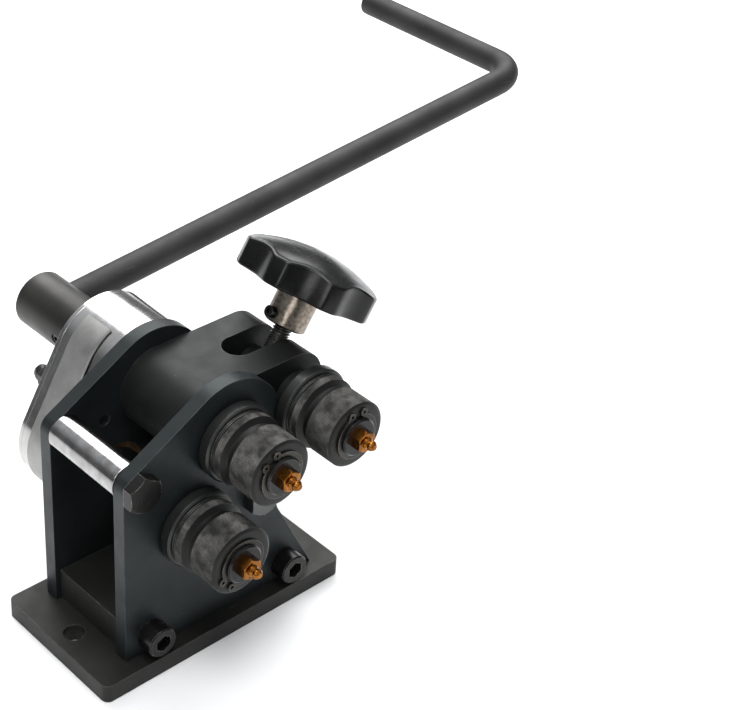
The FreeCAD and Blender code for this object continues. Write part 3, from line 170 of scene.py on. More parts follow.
class Finish:
    """A material under construction: its node tree, and short ways to add and join nodes."""

    def __init__(self, name, metallic, roughness, specular=0.5):
        self.material = bpy.data.materials.new(name)
        self.material.use_nodes = True
        self.tree = self.material.node_tree
        self.shader = self.tree.nodes["Principled BSDF"]
        self.shader.inputs["Metallic"].default_value = metallic
        self.shader.inputs["Roughness"].default_value = roughness
        self.shader.inputs["Specular IOR Level"].default_value = specular
        self.coordinates = self.add("ShaderNodeTexCoord").outputs["Object"]

    def add(self, kind, inputs=None, **settings):
        node = self.tree.nodes.new(kind)
        for key, setting in settings.items():
            setattr(node, key, setting)
        for key, source in (inputs or {}).items():
            if isinstance(source, bpy.types.NodeSocket):
                self.tree.links.new(source, node.inputs[key])
            else:
                node.inputs[key].default_value = source
        return node

    def scaled(self, scale, offset=(0, 0, 0)):
        inputs = {"Vector": self.coordinates, "Scale": scale, "Location": offset}
        return self.add("ShaderNodeMapping", inputs).outputs[0]

    def noise(self, scale, detail, roughness, vector=None):
        node = self.add("ShaderNodeTexNoise", {
            "Vector": vector or self.coordinates, "Scale": scale, "Detail": detail, "Roughness": roughness})
        return node.outputs["Fac"]

    def ramp(self, fac, low, high, start=0.0, end=1.0):
        inputs = {"Value": fac, "From Min": low, "From Max": high, "To Min": start, "To Max": end}
        return self.add("ShaderNodeMapRange", inputs, clamp=True).outputs[0]

    def mix(self, fac, a, b):
        node = self.add("ShaderNodeMix", data_type="RGBA")
        for socket, source in ((0, fac), (6, a), (7, b)):
            if isinstance(source, bpy.types.NodeSocket):
                self.tree.links.new(source, node.inputs[socket])
            else:
                node.inputs[socket].default_value = source if socket == 0 else (*source, 1)
        return node.outputs[2]

    def math(self, operation, a, b=0.0):
        return self.add("ShaderNodeMath", {0: a, 1: b}, operation=operation).outputs[0]

    def edges(self, radius):
        """1 along sharp outer edges, 0 on faces."""
        bevel = self.add("ShaderNodeBevel", {"Radius": radius}, samples=6).outputs[0]
        plain = self.add("ShaderNodeNewGeometry").outputs["Normal"]
        dot = self.add("ShaderNodeVectorMath", {0: bevel, 1: plain}, operation="DOT_PRODUCT")
        return self.ramp(dot.outputs["Value"], 0.985, 0.9)

    def turning(self, centre, pitch, limit):
        """Lathe lines about an axis along Y, out to a radius if one is given."""
        split = self.add("ShaderNodeSeparateXYZ", {0: self.scaled((1, 1, 1), (-centre[0], 0, -centre[2]))})
        flat = self.add("ShaderNodeCombineXYZ", {0: split.outputs[0], 2: split.outputs[2]}).outputs[0]
        radius = self.add("ShaderNodeVectorMath", {0: flat}, operation="LENGTH").outputs["Value"]
        lathe = self.math("DIVIDE", self.math("ADD", radius, split.outputs[1]), pitch)
        line = self.noise(1.0, 2, 0.6, self.add("ShaderNodeCombineXYZ", {0: lathe}).outputs[0])
        if limit:
            line = self.math("MULTIPLY", line, self.ramp(radius, limit, limit + 0.3 * MM, 1, 0))
        return line

    def done(self, tone, rough, height, strength, distance):
        bump = self.add("ShaderNodeBump", {"Height": height, "Strength": strength, "Distance": distance})
        for name, source in (("Base Color", tone), ("Roughness", rough), ("Normal", bump.outputs[0])):
            self.tree.links.new(source, self.shader.inputs[name])
        return self.material


def brighter(colour, factor):
    return tuple(min(1, factor * part) for part in colour)


def oxide_steel(name, dark, light, roughness, metallic=0.55, edge_wear_and_highlight=0.5, worn_and_highlight_tone=(0.22, 0.21, 0.20),
                turned=None, ring_pitch=0.35 * MM, ring_limit=None, scratch=0.18, grain=0.35):
    """Black-oxide steel: a quiet tone, fine grain, edges painted lighter (partly wear, partly a painted
    highlight), scratches, and lathe lines if turned.
    """
    finish = Finish(name, metallic, roughness, specular=0.3)
    glint = brighter(light, 1.8)
    cloud = finish.noise(scale=28, detail=3, roughness=0.5)
    tone = finish.mix(finish.ramp(cloud, 0.3, 0.7), dark, light)
    speck = finish.noise(scale=1500, detail=2, roughness=0.5)
    tone = finish.mix(finish.ramp(speck, 0.56, 0.8, 0, 0.22), tone, glint)
    streaks = finish.noise(scale=1.0, detail=3, roughness=0.6, vector=finish.scaled((60, 900, 900)))
    tone = finish.mix(finish.ramp(streaks, 0.68, 0.76, 0, scratch), tone, worn_and_highlight_tone)
    height = finish.math("ADD", finish.math("MULTIPLY", speck, grain), finish.math("MULTIPLY", streaks, -0.2))
    patch = finish.noise(scale=90, detail=4, roughness=0.6)
    rough = finish.ramp(patch, 0.3, 0.7, roughness - 0.05, roughness + 0.07)
    if turned is not None:
        line = finish.turning(turned, ring_pitch, ring_limit)
        tone = finish.mix(finish.ramp(line, 0.45, 0.8, 0, 0.3), tone, glint)
        height = finish.math("ADD", height, finish.math("MULTIPLY", line, 0.4))
    # Edges painted toward the light worn tone in patches: partly edge wear, partly a painted edge highlight.
    rubbed_and_highlight_patches = finish.ramp(finish.noise(scale=170, detail=3, roughness=0.6), 0.38, 0.62, 0.2, 1.0)
    edge = finish.math("MULTIPLY", finish.math("MULTIPLY", finish.edges(0.45 * MM), rubbed_and_highlight_patches), edge_wear_and_highlight)
    return finish.done(finish.mix(edge, tone, worn_and_highlight_tone), rough, height, 0.3, 0.02 * MM)


def bright_metal(name, dark, light, roughness, mottle=120, mottle_size=0.4, brushed=None, edge_wear_and_highlight=0.3, pits=0.3):
    """Chrome, nickel, brass or aluminium: slight stains, fine pits and, if brushed, lines along one axis."""
    finish = Finish(name, 1.0, roughness)
    cloud = finish.noise(scale=mottle, detail=4, roughness=0.6)
    tone = finish.mix(finish.ramp(cloud, 0.5 - mottle_size / 2, 0.5 + mottle_size / 2), dark, light)
    height = finish.math("MULTIPLY", finish.noise(scale=2600, detail=2, roughness=0.5), pits)
    patch = finish.noise(scale=60, detail=4, roughness=0.6)
    rough = finish.ramp(patch, 0.3, 0.7, roughness - 0.04, roughness + 0.05)
    if brushed is not None:
        line = finish.noise(scale=1.0, detail=3, roughness=0.7, vector=finish.scaled(brushed))
        tone = finish.mix(finish.ramp(line, 0.35, 0.7, 0, 0.35), tone, dark)
        height = finish.math("ADD", height, line)
    # Edges painted brighter than the light tone: a painted edge highlight, partly wear.
    tone = finish.mix(finish.math("MULTIPLY", finish.edges(0.25 * MM), edge_wear_and_highlight), tone, brighter(light, 1.25))
    return finish.done(tone, rough, height, 0.15, 0.01 * MM)


def moulded_plastic(name, dark, light):
    """Black phenolic: deep colour, a faint orange peel, and lobe edges painted lighter, partly rubbing and partly
    a painted highlight.
    """
    finish = Finish(name, 0.0, 0.26, specular=0.28)
    cloud = finish.noise(scale=45, detail=3, roughness=0.5)
    tone = finish.mix(finish.ramp(cloud, 0.35, 0.7), dark, light)
    rough = finish.ramp(finish.noise(scale=160, detail=4, roughness=0.6), 0.35, 0.75, 0.2, 0.32)
    # Lobe edges painted lighter in patches: partly rubbing, partly a painted edge highlight.
    rubbed_and_highlight_patches = finish.ramp(finish.noise(scale=260, detail=3, roughness=0.6), 0.45, 0.7, 0, 0.3)
    edge = finish.math("MULTIPLY", finish.edges(1.2 * MM), rubbed_and_highlight_patches)
    peel = finish.noise(scale=520, detail=2, roughness=0.4)
    return finish.done(finish.mix(edge, tone, (0.05, 0.05, 0.05)), rough, peel, 0.06, 0.02 * MM)


# Each finish: dark tone, light tone, roughness and what else differs
OXIDE_STEELS = {
    "plate_steel": ((0.013, 0.0165, 0.017), (0.022, 0.027, 0.028), 0.42, dict(edge_wear_and_highlight=0.7)),
    "base_steel": ((0.016, 0.0168, 0.015), (0.028, 0.0284, 0.0256), 0.5, dict(
        edge_wear_and_highlight=1.0, worn_and_highlight_tone=(0.34, 0.33, 0.31))),
    "arm_steel": ((0.009, 0.0098, 0.0096), (0.016, 0.017, 0.0166), 0.48, dict(
        edge_wear_and_highlight=0.7, turned=SHAFTS["center"], ring_pitch=0.9 * MM, ring_limit=21.6 * MM)),
    "fastener_black": ((0.010, 0.0098, 0.0095), (0.026, 0.025, 0.024), 0.26, dict(
        edge_wear_and_highlight=1.0, metallic=0.8, worn_and_highlight_tone=(0.42, 0.40, 0.38))),
    "fastener_dark": ((0.018, 0.018, 0.017), (0.04, 0.038, 0.036), 0.28, dict(edge_wear_and_highlight=0.8)),
    "bolt_grey": ((0.05, 0.052, 0.052), (0.11, 0.11, 0.11), 0.36, dict(
        metallic=0.9, edge_wear_and_highlight=0.9, worn_and_highlight_tone=(0.7, 0.7, 0.68))),
    "circlip_steel": ((0.022, 0.021, 0.019), (0.05, 0.046, 0.042), 0.3, dict(
        metallic=0.9, edge_wear_and_highlight=0.9, worn_and_highlight_tone=(0.3, 0.27, 0.24))),
    "gear_steel": ((0.22, 0.22, 0.23), (0.4, 0.4, 0.41), 0.3, dict(metallic=1.0)),
    "washer_steel": ((0.12, 0.12, 0.125), (0.24, 0.24, 0.25), 0.3, dict(metallic=1.0)),
    "hub_steel": ((0.022, 0.0215, 0.020), (0.042, 0.041, 0.038), 0.4, dict(
        edge_wear_and_highlight=0.5, turned=SHAFTS["center"])),
    "crank_steel": ((0.024, 0.024, 0.0235), (0.040, 0.0395, 0.0385), 0.56, dict(edge_wear_and_highlight=0.6, scratch=0.3)),
    "screw_steel": ((0.012, 0.0125, 0.012), (0.03, 0.03, 0.028), 0.26, dict(edge_wear_and_highlight=0.7)),
}
BRIGHT_METALS = {
    "bronze": ((0.20, 0.12, 0.055), (0.36, 0.23, 0.11), 0.35, {}),
    "brass": ((0.13, 0.042, 0.006), (0.30, 0.12, 0.02), 0.24, dict(mottle=420, mottle_size=0.3, edge_wear_and_highlight=0.5)),
    "chrome_tube": ((0.27, 0.26, 0.255), (0.40, 0.40, 0.40), 0.14, dict(mottle=160, mottle_size=0.3)),
    "chrome_housing": ((0.36, 0.35, 0.34), (0.50, 0.50, 0.50), 0.15, dict(mottle=60, brushed=(60, 700, 60))),
    "label_aluminium": ((0.27, 0.27, 0.26), (0.38, 0.38, 0.37), 0.5, dict(mottle=90, brushed=(40, 2400, 40))),
    "nickel_collar": ((0.13, 0.105, 0.085), (0.28, 0.245, 0.205), 0.28, dict(
        mottle=480, mottle_size=0.3, pits=1.0)),
}
# The same for steels that are turned about each roller's own shaft
SHAFT_STEELS = {
    "knurled_steel": ((0.010, 0.0105, 0.0098), (0.0155, 0.016, 0.0146), 0.46, dict(edge_wear_and_highlight=0.5, grain=0.2)),
    "turned_steel": ((0.024, 0.026, 0.025), (0.042, 0.044, 0.041), 0.32, dict(
        edge_wear_and_highlight=1.0, metallic=0.7, worn_and_highlight_tone=(0.4, 0.39, 0.37))),
    "shaft_steel": ((0.012, 0.0125, 0.013), (0.026, 0.026, 0.027), 0.22, dict(edge_wear_and_highlight=0.9, metallic=0.8)),
}
MATERIALS = {}
for make, table in ((oxide_steel, OXIDE_STEELS), (bright_metal, BRIGHT_METALS)):
    for name, (dark, light, roughness, more) in table.items():
        MATERIALS[name] = make(name, dark, light, roughness, **more)
MATERIALS["knob_plastic"] = moulded_plastic("knob_plastic", (0.0015, 0.0017, 0.0017), (0.004, 0.004, 0.004))
for shaft, centre in SHAFTS.items():
    for steel, (dark, light, roughness, more) in SHAFT_STEELS.items():
        name = steel + "_" + shaft
        MATERIALS[name] = oxide_steel(name, dark, light, roughness, turned=centre, **more)


def finish_for(node):
    """The material of a node: its record slot's, centred on its own shaft where the finish is turned."""
    if node == "anchor_bolt":
        return MATERIALS["bolt_grey"]
    slot = SLOT_OF[node]
    if slot in MATERIALS:
        return MATERIALS[slot]
    shaft = node.split("_")[0]
    return MATERIALS[slot + "_" + (shaft if shaft in SHAFTS else "center")]


# Meshes

PINPOINT = 0.01 * MM


def new_piece(name, mesh, node):
    """A piece that stands for a CAD node and rides on the same body."""
    piece = bpy.data.objects.new(name, mesh)
    bpy.context.scene.collection.objects.link(piece)
    mesh.materials.clear()
    mesh.materials.append(finish_for(node))
    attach(piece, BODY_OF[node])
    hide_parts(node)
    return piece


def smooth(mesh, degrees=35):
    mesh.shade_smooth()
    mesh.set_sharp_from_angle(angle=math.radians(degrees))


def shade_flats(piece, degrees=35):
    """Shade large faces flat, let only their rounded edges turn, and apply the piece's modifiers."""
    smooth(piece.data, degrees)
    weighted = piece.modifiers.new("weighted", "WEIGHTED_NORMAL")
    weighted.weight = 90
    weighted.keep_sharp = True
    mesh = bpy.data.meshes.new_from_object(piece.evaluated_get(bpy.context.evaluated_depsgraph_get()))
    piece.modifiers.clear()
    old = piece.data
    piece.data = mesh
    bpy.data.meshes.remove(old)


def soften(node, width):
    """A CAD node with its outer edges rounded over, as filed or tumbled steel is."""
    mesh = frame["nodes"][node].data.copy()
    edit = bmesh.new()
    edit.from_mesh(mesh)
    bmesh.ops.remove_doubles(edit, verts=edit.verts, dist=0.002 * MM)
    bmesh.ops.dissolve_limit(edit, angle_limit=math.radians(1.0), verts=edit.verts, edges=edit.edges)
    edit.to_mesh(mesh)
    edit.free()
    piece = new_piece(node + "_finished", mesh, node)
    bevel = piece.modifiers.new("edges", "BEVEL")
    bevel.width = width
    bevel.segments = 2
    bevel.limit_method = "ANGLE"
    bevel.angle_limit = math.radians(32)
    bevel.harden_normals = False
    shade_flats(piece, 60)


def mesh_from(name, vertices, faces):
    mesh = bpy.data.meshes.new(name)
    mesh.from_pydata(vertices, [], faces)
    mesh.validate()
    edit = bmesh.new()
    edit.from_mesh(mesh)
    bmesh.ops.recalc_face_normals(edit, faces=edit.faces)
    edit.to_mesh(mesh)
    edit.free()
    return mesh


def on_axis(centre, axis, radial):
    """A function from (angle, radius, distance along the axis) to a point."""
    axis = axis.normalized()
    first = (radial - axis * radial.dot(axis)).normalized()
    second = axis.cross(first)

    def point(angle, radius, along):
        across = first * (radius * math.cos(angle)) + second * (radius * math.sin(angle))
        return centre + axis * along + across

    return point


def ring_faces(count, columns, first=0, closed=False):
    """Quads between each two neighbouring rings of vertices, and from the last to the first if closed."""
    faces = []
    for k in range(count if closed else count - 1):
        a, b = first + k * columns, first + (k + 1) % count * columns
        for i in range(columns):
            j = (i + 1) % columns
            faces.append((a + i, b + i, b + j, a + j))
    return faces


def rounded_rows(corners, radius, steps=4):
    """The corners (radius, along) of a turned profile, each rounded as far as its sides allow."""
    rows = []
    count = len(corners)
    for i, (r, y) in enumerate(corners):
        here = Vector((r, y))
        before, after = Vector(corners[i - 1]) - here, Vector(corners[(i + 1) % count]) - here
        if r == 0:
            rows.append((r, y))
            continue
        turn = before.angle(after)
        reach = min(radius / math.tan(turn / 2), before.length * 0.45, after.length * 0.45)
        start, end = here + before.normalized() * reach, here + after.normalized() * reach
        for step in range(steps + 1):
            t = step / steps
            spot = start * (1 - t) ** 2 + here * 2 * t * (1 - t) + end * t ** 2
            rows.append((max(spot.x, 1e-6), spot.y))
    return rows


def make_turned(name, node, centre, axis, corners, rounding, columns):
    """A turned ring from its profile's corners (radius, distance along the axis)."""
    point = on_axis(centre, axis, Vector((1, 0, 0)))
    rows = rounded_rows(corners, rounding)
    angles = [2 * math.pi * i / columns for i in range(columns)]
    vertices = [point(angle, radius, along) for radius, along in rows for angle in angles]
    mesh = mesh_from(name, vertices, ring_faces(len(rows), columns, closed=True))
    new_piece(name, mesh, node)
    smooth(mesh)


# Rollers: each with its flange disc, seen along -Y from the front plate

FRONT = Vector((0, -1, 0))
KNURL_COLUMNS = 240
KNURL_DEPTH, KNURL_ROW, KNURL_RIM = 0.26 * MM, 0.458 * MM, 0.25 * MM
DISC_BACK, DISC_FRONT, STEP_FRONT, RELIEF_FRONT = 33.8 * MM, 40.6 * MM, 42.0 * MM, 43.0 * MM
BAND_FRONT, WAIST_FRONT, BODY_FRONT = 47.5 * MM, 53.0 * MM, 69.3 * MM
DISC_RADIUS, DISC_BEVEL, STEP_RADIUS, RELIEF_RADIUS = 20.4 * MM, 0.9 * MM, 18.0 * MM, 17.4 * MM
SMALL_BAND, LARGE_BAND, WAIST_RADIUS, WAIST_SLOPE = 18.7 * MM, 17.5 * MM, 15.5 * MM, 1.2 * MM
# Rise above the waist's radius, and run from the foot of its slope
WAIST_EASE = ((0.45 * MM, -0.15 * MM), (0.08 * MM, 0.25 * MM), (0, 0.7 * MM))
ROLLER_BORE, BORE_BEVEL, BORE_STEPS = 10.05 * MM, 0.35 * MM, 96
KEY_HALF, KEY_TOP = 3.0 * MM, 13.4 * MM
KEY_ANGLES = {"lower": 36.6, "center": 16.2, "pressure": 12.6}


def knurl_rows(radius, start, end):
    """Rows of knurling between two stations toward the front, with a narrow plain rim at either side."""
    low, high = radius - 0.35 * MM, radius - 0.04 * MM
    run = end - start - 2 * KNURL_RIM
    count = max(2, round(run / KNURL_ROW))
    rows = [(low, start, False), (high, start + KNURL_RIM * 0.8, False)]
    rows += [(radius, start + KNURL_RIM + run * k / count, True) for k in range(count + 1)]
    return rows + [(high, end - KNURL_RIM * 0.8, False), (low, end, False)]


def roller_rows():
    """The roller's outer profile from its rear to its front: radius, station, and whether it is knurled."""
    rows = [(RELIEF_RADIUS - 0.3 * MM, STEP_FRONT, False), (RELIEF_RADIUS, STEP_FRONT + 0.2 * MM, False),
            (RELIEF_RADIUS, RELIEF_FRONT - 0.05 * MM, False)]
    rows += knurl_rows(SMALL_BAND, RELIEF_FRONT, BAND_FRONT)
    back, front = BAND_FRONT + WAIST_SLOPE, WAIST_FRONT - WAIST_SLOPE
    rows += [(WAIST_RADIUS + rise, back + run, False) for rise, run in WAIST_EASE]
    rows += [(WAIST_RADIUS + rise, front - run, False) for rise, run in reversed(WAIST_EASE)]
    rows += knurl_rows(LARGE_BAND, WAIST_FRONT, BODY_FRONT - 0.75 * MM)
    return rows + [(16.15 * MM, BODY_FRONT - 0.1 * MM, False), (15.75 * MM, BODY_FRONT, False)]


def knurled_faces(rows):
    """Quads between plain rows, and triangles that make diamonds between knurled ones."""
    faces, columns = [], KNURL_COLUMNS
    for k in range(len(rows) - 1):
        for i in range(columns):
            j = (i + 1) % columns
            a, b, c, d = k * columns + i, k * columns + j, (k + 1) * columns + j, (k + 1) * columns + i
            if not (rows[k][2] and rows[k + 1][2]):
                faces.append((a, b, c, d))
            elif (i + k) % 2 == 0:
                faces += [(a, b, d), (b, c, d)]
            else:
                faces += [(a, b, c), (a, c, d)]
    return faces


def bore_outline(key):
    """The bore with its keyway in one direction, as (radius, angle) pairs."""
    half = math.asin(KEY_HALF / ROLLER_BORE)
    corner, far = math.atan2(KEY_HALF, KEY_TOP), math.hypot(KEY_TOP, KEY_HALF)
    sweep = 2 * math.pi - 2 * half
    outline = [(ROLLER_BORE, key + half + sweep * i / BORE_STEPS) for i in range(BORE_STEPS + 1)]
    return outline + [(far, key - corner), (far, key + corner)]


def make_roller(shaft, middle):
    """The knurled roller: two bands of diamond knurling, a waist between them and the keyway in its bore."""
    point = on_axis(middle, FRONT, Vector((1, 0, 0)))
    rows = roller_rows()
    edit = bmesh.new()
    points = []
    for k, (radius, along, knurled) in enumerate(rows):
        for i in range(KNURL_COLUMNS):
            drop = KNURL_DEPTH if knurled and (i + k) % 2 else 0
            points.append(edit.verts.new(point(2 * math.pi * i / KNURL_COLUMNS, radius - drop, along)))
    for face in knurled_faces(rows):
        edit.faces.new([points[i] for i in face])
    outline = bore_outline(math.radians(KEY_ANGLES[shaft]))
    loops = []
    for grow, along in ((BORE_BEVEL, BODY_FRONT), (0, BODY_FRONT - BORE_BEVEL), (0, STEP_FRONT)):
        loops.append([edit.verts.new(point(-angle, radius + grow, along)) for radius, angle in outline])
    for a, b in zip(loops, loops[1:]):
        for i in range(len(outline)):
            j = (i + 1) % len(outline)
            edit.faces.new((a[i], a[j], b[j], b[i]))

    def closed_edges(ring):
        pairs = [(ring[i], ring[i - 1]) for i in range(len(ring))]
        return [edit.edges.get(pair) or edit.edges.new(pair) for pair in pairs]

    faces = ((points[-KNURL_COLUMNS:], loops[0], FRONT), (points[:KNURL_COLUMNS], loops[-1], -FRONT))
    for ring, bore, normal in faces:
        edges = closed_edges(ring) + closed_edges(bore)
        bmesh.ops.triangle_fill(edit, use_beauty=True, edges=edges, normal=normal)
    bmesh.ops.recalc_face_normals(edit, faces=edit.faces)
    mesh = bpy.data.meshes.new(shaft + "_roller_knurled")
    edit.to_mesh(mesh)
    edit.free()
    new_piece(shaft + "_roller_knurled", mesh, shaft + "_roller")
    smooth(mesh, 24)


def make_roller_set(shaft):
    middle = Vector((SHAFTS[shaft].x, 0, SHAFTS[shaft].z))
    bevelled = DISC_RADIUS - DISC_BEVEL
    make_turned(shaft + "_flange_turned", shaft + "_flange", middle, FRONT, [
        (ROLLER_BORE, DISC_BACK), (bevelled, DISC_BACK), (DISC_RADIUS, DISC_BACK + DISC_BEVEL),
        (DISC_RADIUS, DISC_FRONT - DISC_BEVEL), (bevelled, DISC_FRONT), (STEP_RADIUS, DISC_FRONT),
        (STEP_RADIUS, STEP_FRONT), (ROLLER_BORE, STEP_FRONT)], 0.25 * MM, columns=160)
    make_roller(shaft, middle)


# Adjusting screw, its collar and the star knob, by distance from the anchor bolt

SCREW_BACK, SCREW_END, THREAD_START = 8.3 * MM, 103.0 * MM, 20.4 * MM
JOURNAL, GROOVE, CREST, ROOT, THREAD_PITCH = 3.5 * MM, 2.1 * MM, 5.0 * MM, 4.12 * MM, 1.5 * MM
GROOVE_START, GROOVE_END, JOURNAL_END, SHANK_START = 12.4 * MM, 15.6 * MM, 20.2 * MM, 20.6 * MM
THREAD_COLUMNS = 64
# The thread's section: radius, and part of a pitch
THREAD_SECTION = ((CREST, 0.0), (CREST, 0.16), (ROOT, 0.46), (ROOT, 0.6), (CREST, 1.0))
COLLAR_START, COLLAR_RADIUS, COLLAR_BEVEL, COLLAR_BORE = 77.5 * MM, 11.0 * MM, 0.8 * MM, 5.05 * MM
KNOB_RADIUS, KNOB_LOBES, SCALLOP, SCALLOP_DEPTH = 36.0 * MM, 7, 24.0 * MM, 4.2 * MM
SCALLOP_EASE, KNOB_TURN = 3.0 * MM, math.radians(13.9)
KNOB_BACK, RIM_END, CROWN, DOME_RADIUS = 96.6 * MM, 110.93 * MM, 8.2 * MM, 35.2 * MM
RIM_LOW, RIM_TOP, RIM_STEPS, DOME_STEPS = 1.2 * MM, 1.8 * MM, 6, 20
KNOB_ROUND = KNOB_RADIUS - 0.4 * SCALLOP_DEPTH
# The underside: share of the edge's distance, and depth in millimetres
UNDERSIDE = ((0.17, 0.6), (0.36, 1.4), (0.5, 2.6), (0.72, 3.0), (0.8, 2.6), (0.84, 1.2), (0.86, 0.35))


def screw_point():
    return on_axis(ANCHOR, SCREW_AXIS, Vector((1, 0, 0)))


def make_adjusting_screw():
    """The journal, and the threaded shank with a real helical thread on a closed core."""
    point = screw_point()
    columns, width = THREAD_COLUMNS, len(THREAD_SECTION)
    steps = int((SCREW_END - THREAD_START - THREAD_PITCH) / THREAD_PITCH * columns)
    vertices, faces = [], []
    for step in range(steps + 1):
        fade = min(1.0, step / (columns * 0.6), (steps - step) / (columns * 0.6))
        for radius, part in THREAD_SECTION:
            along = THREAD_START + THREAD_PITCH * (step / columns + part)
            vertices.append(point(2 * math.pi * step / columns, ROOT + (radius - ROOT) * fade, along))
    for step in range(steps):
        for k in range(width - 1):
            a, b = step * width + k, (step + 1) * width + k
            faces.append((a, b, b + 1, a + 1))
    core, shank = len(vertices), ROOT + 0.02 * MM
    rows = rounded_rows([
        (0, SCREW_BACK), (JOURNAL, SCREW_BACK), (JOURNAL, GROOVE_START), (GROOVE, GROOVE_START),
        (GROOVE, GROOVE_END), (JOURNAL, GROOVE_END), (JOURNAL, JOURNAL_END), (shank, SHANK_START),
        (shank, SCREW_END), (0, SCREW_END)], 0.15 * MM)
    angles = [2 * math.pi * i / columns for i in range(columns)]
    vertices += [point(angle, radius, along) for radius, along in rows for angle in angles]
    faces += ring_faces(len(rows), columns, core)
    mesh = mesh_from("adjusting_screw_threaded", vertices, faces)
    new_piece("adjusting_screw_threaded", mesh, "adjusting_screw")
    smooth(mesh, 40)


def make_collar():
    make_turned("knob_collar_turned", "knob_collar", ANCHOR, SCREW_AXIS, [
        (COLLAR_BORE, COLLAR_START), (COLLAR_RADIUS - COLLAR_BEVEL, COLLAR_START),
        (COLLAR_RADIUS, COLLAR_START + COLLAR_BEVEL), (COLLAR_RADIUS, KNOB_BACK), (COLLAR_BORE, KNOB_BACK)],
        0.3 * MM, columns=96)


def knob_edge(angle):
    """Distance from the knob's axis to its edge: lobes, a scallop between each two, and eased corners."""
    far = KNOB_RADIUS + SCALLOP - SCALLOP_DEPTH
    period = 2 * math.pi / KNOB_LOBES
    off = (angle - KNOB_TURN + period / 2) % period - period / 2
    across = SCALLOP ** 2 - (far * math.sin(off)) ** 2
    if across <= 0:
        return KNOB_RADIUS
    scallop = far * math.cos(off) - math.sqrt(across)
    near = max(0.0, SCALLOP_EASE - abs(scallop - KNOB_RADIUS)) / SCALLOP_EASE
    return min(scallop, KNOB_RADIUS) - near * near * SCALLOP_EASE / 4


def knob_dome(radius):
    return RIM_END + CROWN * (1 - (radius / DOME_RADIUS) ** 2)


def knob_section(edge):
    """Half section in one direction: the hollow underside, the rolled rim and the dome that the rim cuts."""
    rows = []
    for fraction, depth in UNDERSIDE:
        lobed = min(1.0, max(0.0, (fraction - 0.5) / 0.34))
        rows.append(((edge * lobed + KNOB_ROUND * (1 - lobed)) * fraction, KNOB_BACK + depth * MM))
    for k in range(RIM_STEPS + 1):
        turn = math.pi / 2 * k / RIM_STEPS
        rows.append((edge - RIM_LOW * (1 - math.sin(turn)), KNOB_BACK + RIM_LOW * (1 - math.cos(turn))))
    shoulder = knob_dome(edge - RIM_TOP)
    for k in range(RIM_STEPS + 1):
        turn = math.pi / 2 * k / RIM_STEPS
        rows.append((edge - RIM_TOP * (1 - math.cos(turn)), shoulder - RIM_TOP * (1 - math.sin(turn))))
    for k in range(1, DOME_STEPS + 1):
        fraction = 1 - k / DOME_STEPS
        blend = min(1.0, max(0.0, (fraction - 0.3) / 0.65))
        lobed = blend * blend * (3 - 2 * blend)
        radius = ((edge - RIM_TOP) * lobed + (KNOB_ROUND - RIM_TOP) * (1 - lobed)) * fraction
        radius = max(PINPOINT, radius)
        rows.append((radius, knob_dome(radius)))
    return rows


def make_knob():
    """The moulded star knob."""
    point = screw_point()
    columns = KNOB_LOBES * 48
    angles = [2 * math.pi * i / columns for i in range(columns)]
    sections = [knob_section(knob_edge(angle)) for angle in angles]
    count = len(sections[0])
    vertices = [point(angle, *section[k]) for k in range(count) for angle, section in zip(angles, sections)]
    mesh = mesh_from("knob_moulded", vertices, ring_faces(count, columns))
    new_piece("knob_moulded", mesh, "knob")
    smooth(mesh, 38)


# Crank rod: a bent bar swept along its own middle line

CRANK_LIFT, CRANK_PLANE, CRANK_TAIL = math.radians(6.44), 112.1 * MM, 10.0 * MM
CRANK_REACH, CRANK_BEND, CRANK_HANDLE = 357.0 * MM, 20.0 * MM, 139.0 * MM
CRANK_RADIUS, CRANK_BEVEL, CRANK_COLUMNS = 7.995 * MM, 0.8 * MM, 64
ARM_STEPS, BEND_STEPS, HANDLE_STEPS = 24, 20, 8
# An end of the bar: distance from its face, and radius
CRANK_CAP = (
    (0.0, PINPOINT), (0.0, CRANK_RADIUS * 0.55), (0.0, CRANK_RADIUS - CRANK_BEVEL),
    (CRANK_BEVEL * 0.35, CRANK_RADIUS - CRANK_BEVEL * 0.3), (CRANK_BEVEL, CRANK_RADIUS),
)


def crank_line(along, back):
    """Points of the bar's middle line with its heading at each: the arm, the bend and the handle."""
    hub = Vector((SHAFTS["center"].x, CRANK_PLANE, SHAFTS["center"].z))
    run = CRANK_REACH - CRANK_BEND + CRANK_TAIL
    line = [(hub + along * (run * k / ARM_STEPS - CRANK_TAIL), along) for k in range(ARM_STEPS + 1)]
    pivot = hub + along * (CRANK_REACH - CRANK_BEND) + back * CRANK_BEND
    for k in range(1, BEND_STEPS + 1):
        turn = math.pi / 2 * k / BEND_STEPS
        ahead, aside = math.cos(turn), math.sin(turn)
        line.append((pivot + (along * aside - back * ahead) * CRANK_BEND, along * ahead + back * aside))
    start = pivot + along * CRANK_BEND
    end = hub + along * CRANK_REACH + back * CRANK_HANDLE
    return line + [(start + (end - start) * k / HANDLE_STEPS, back) for k in range(1, HANDLE_STEPS + 1)]


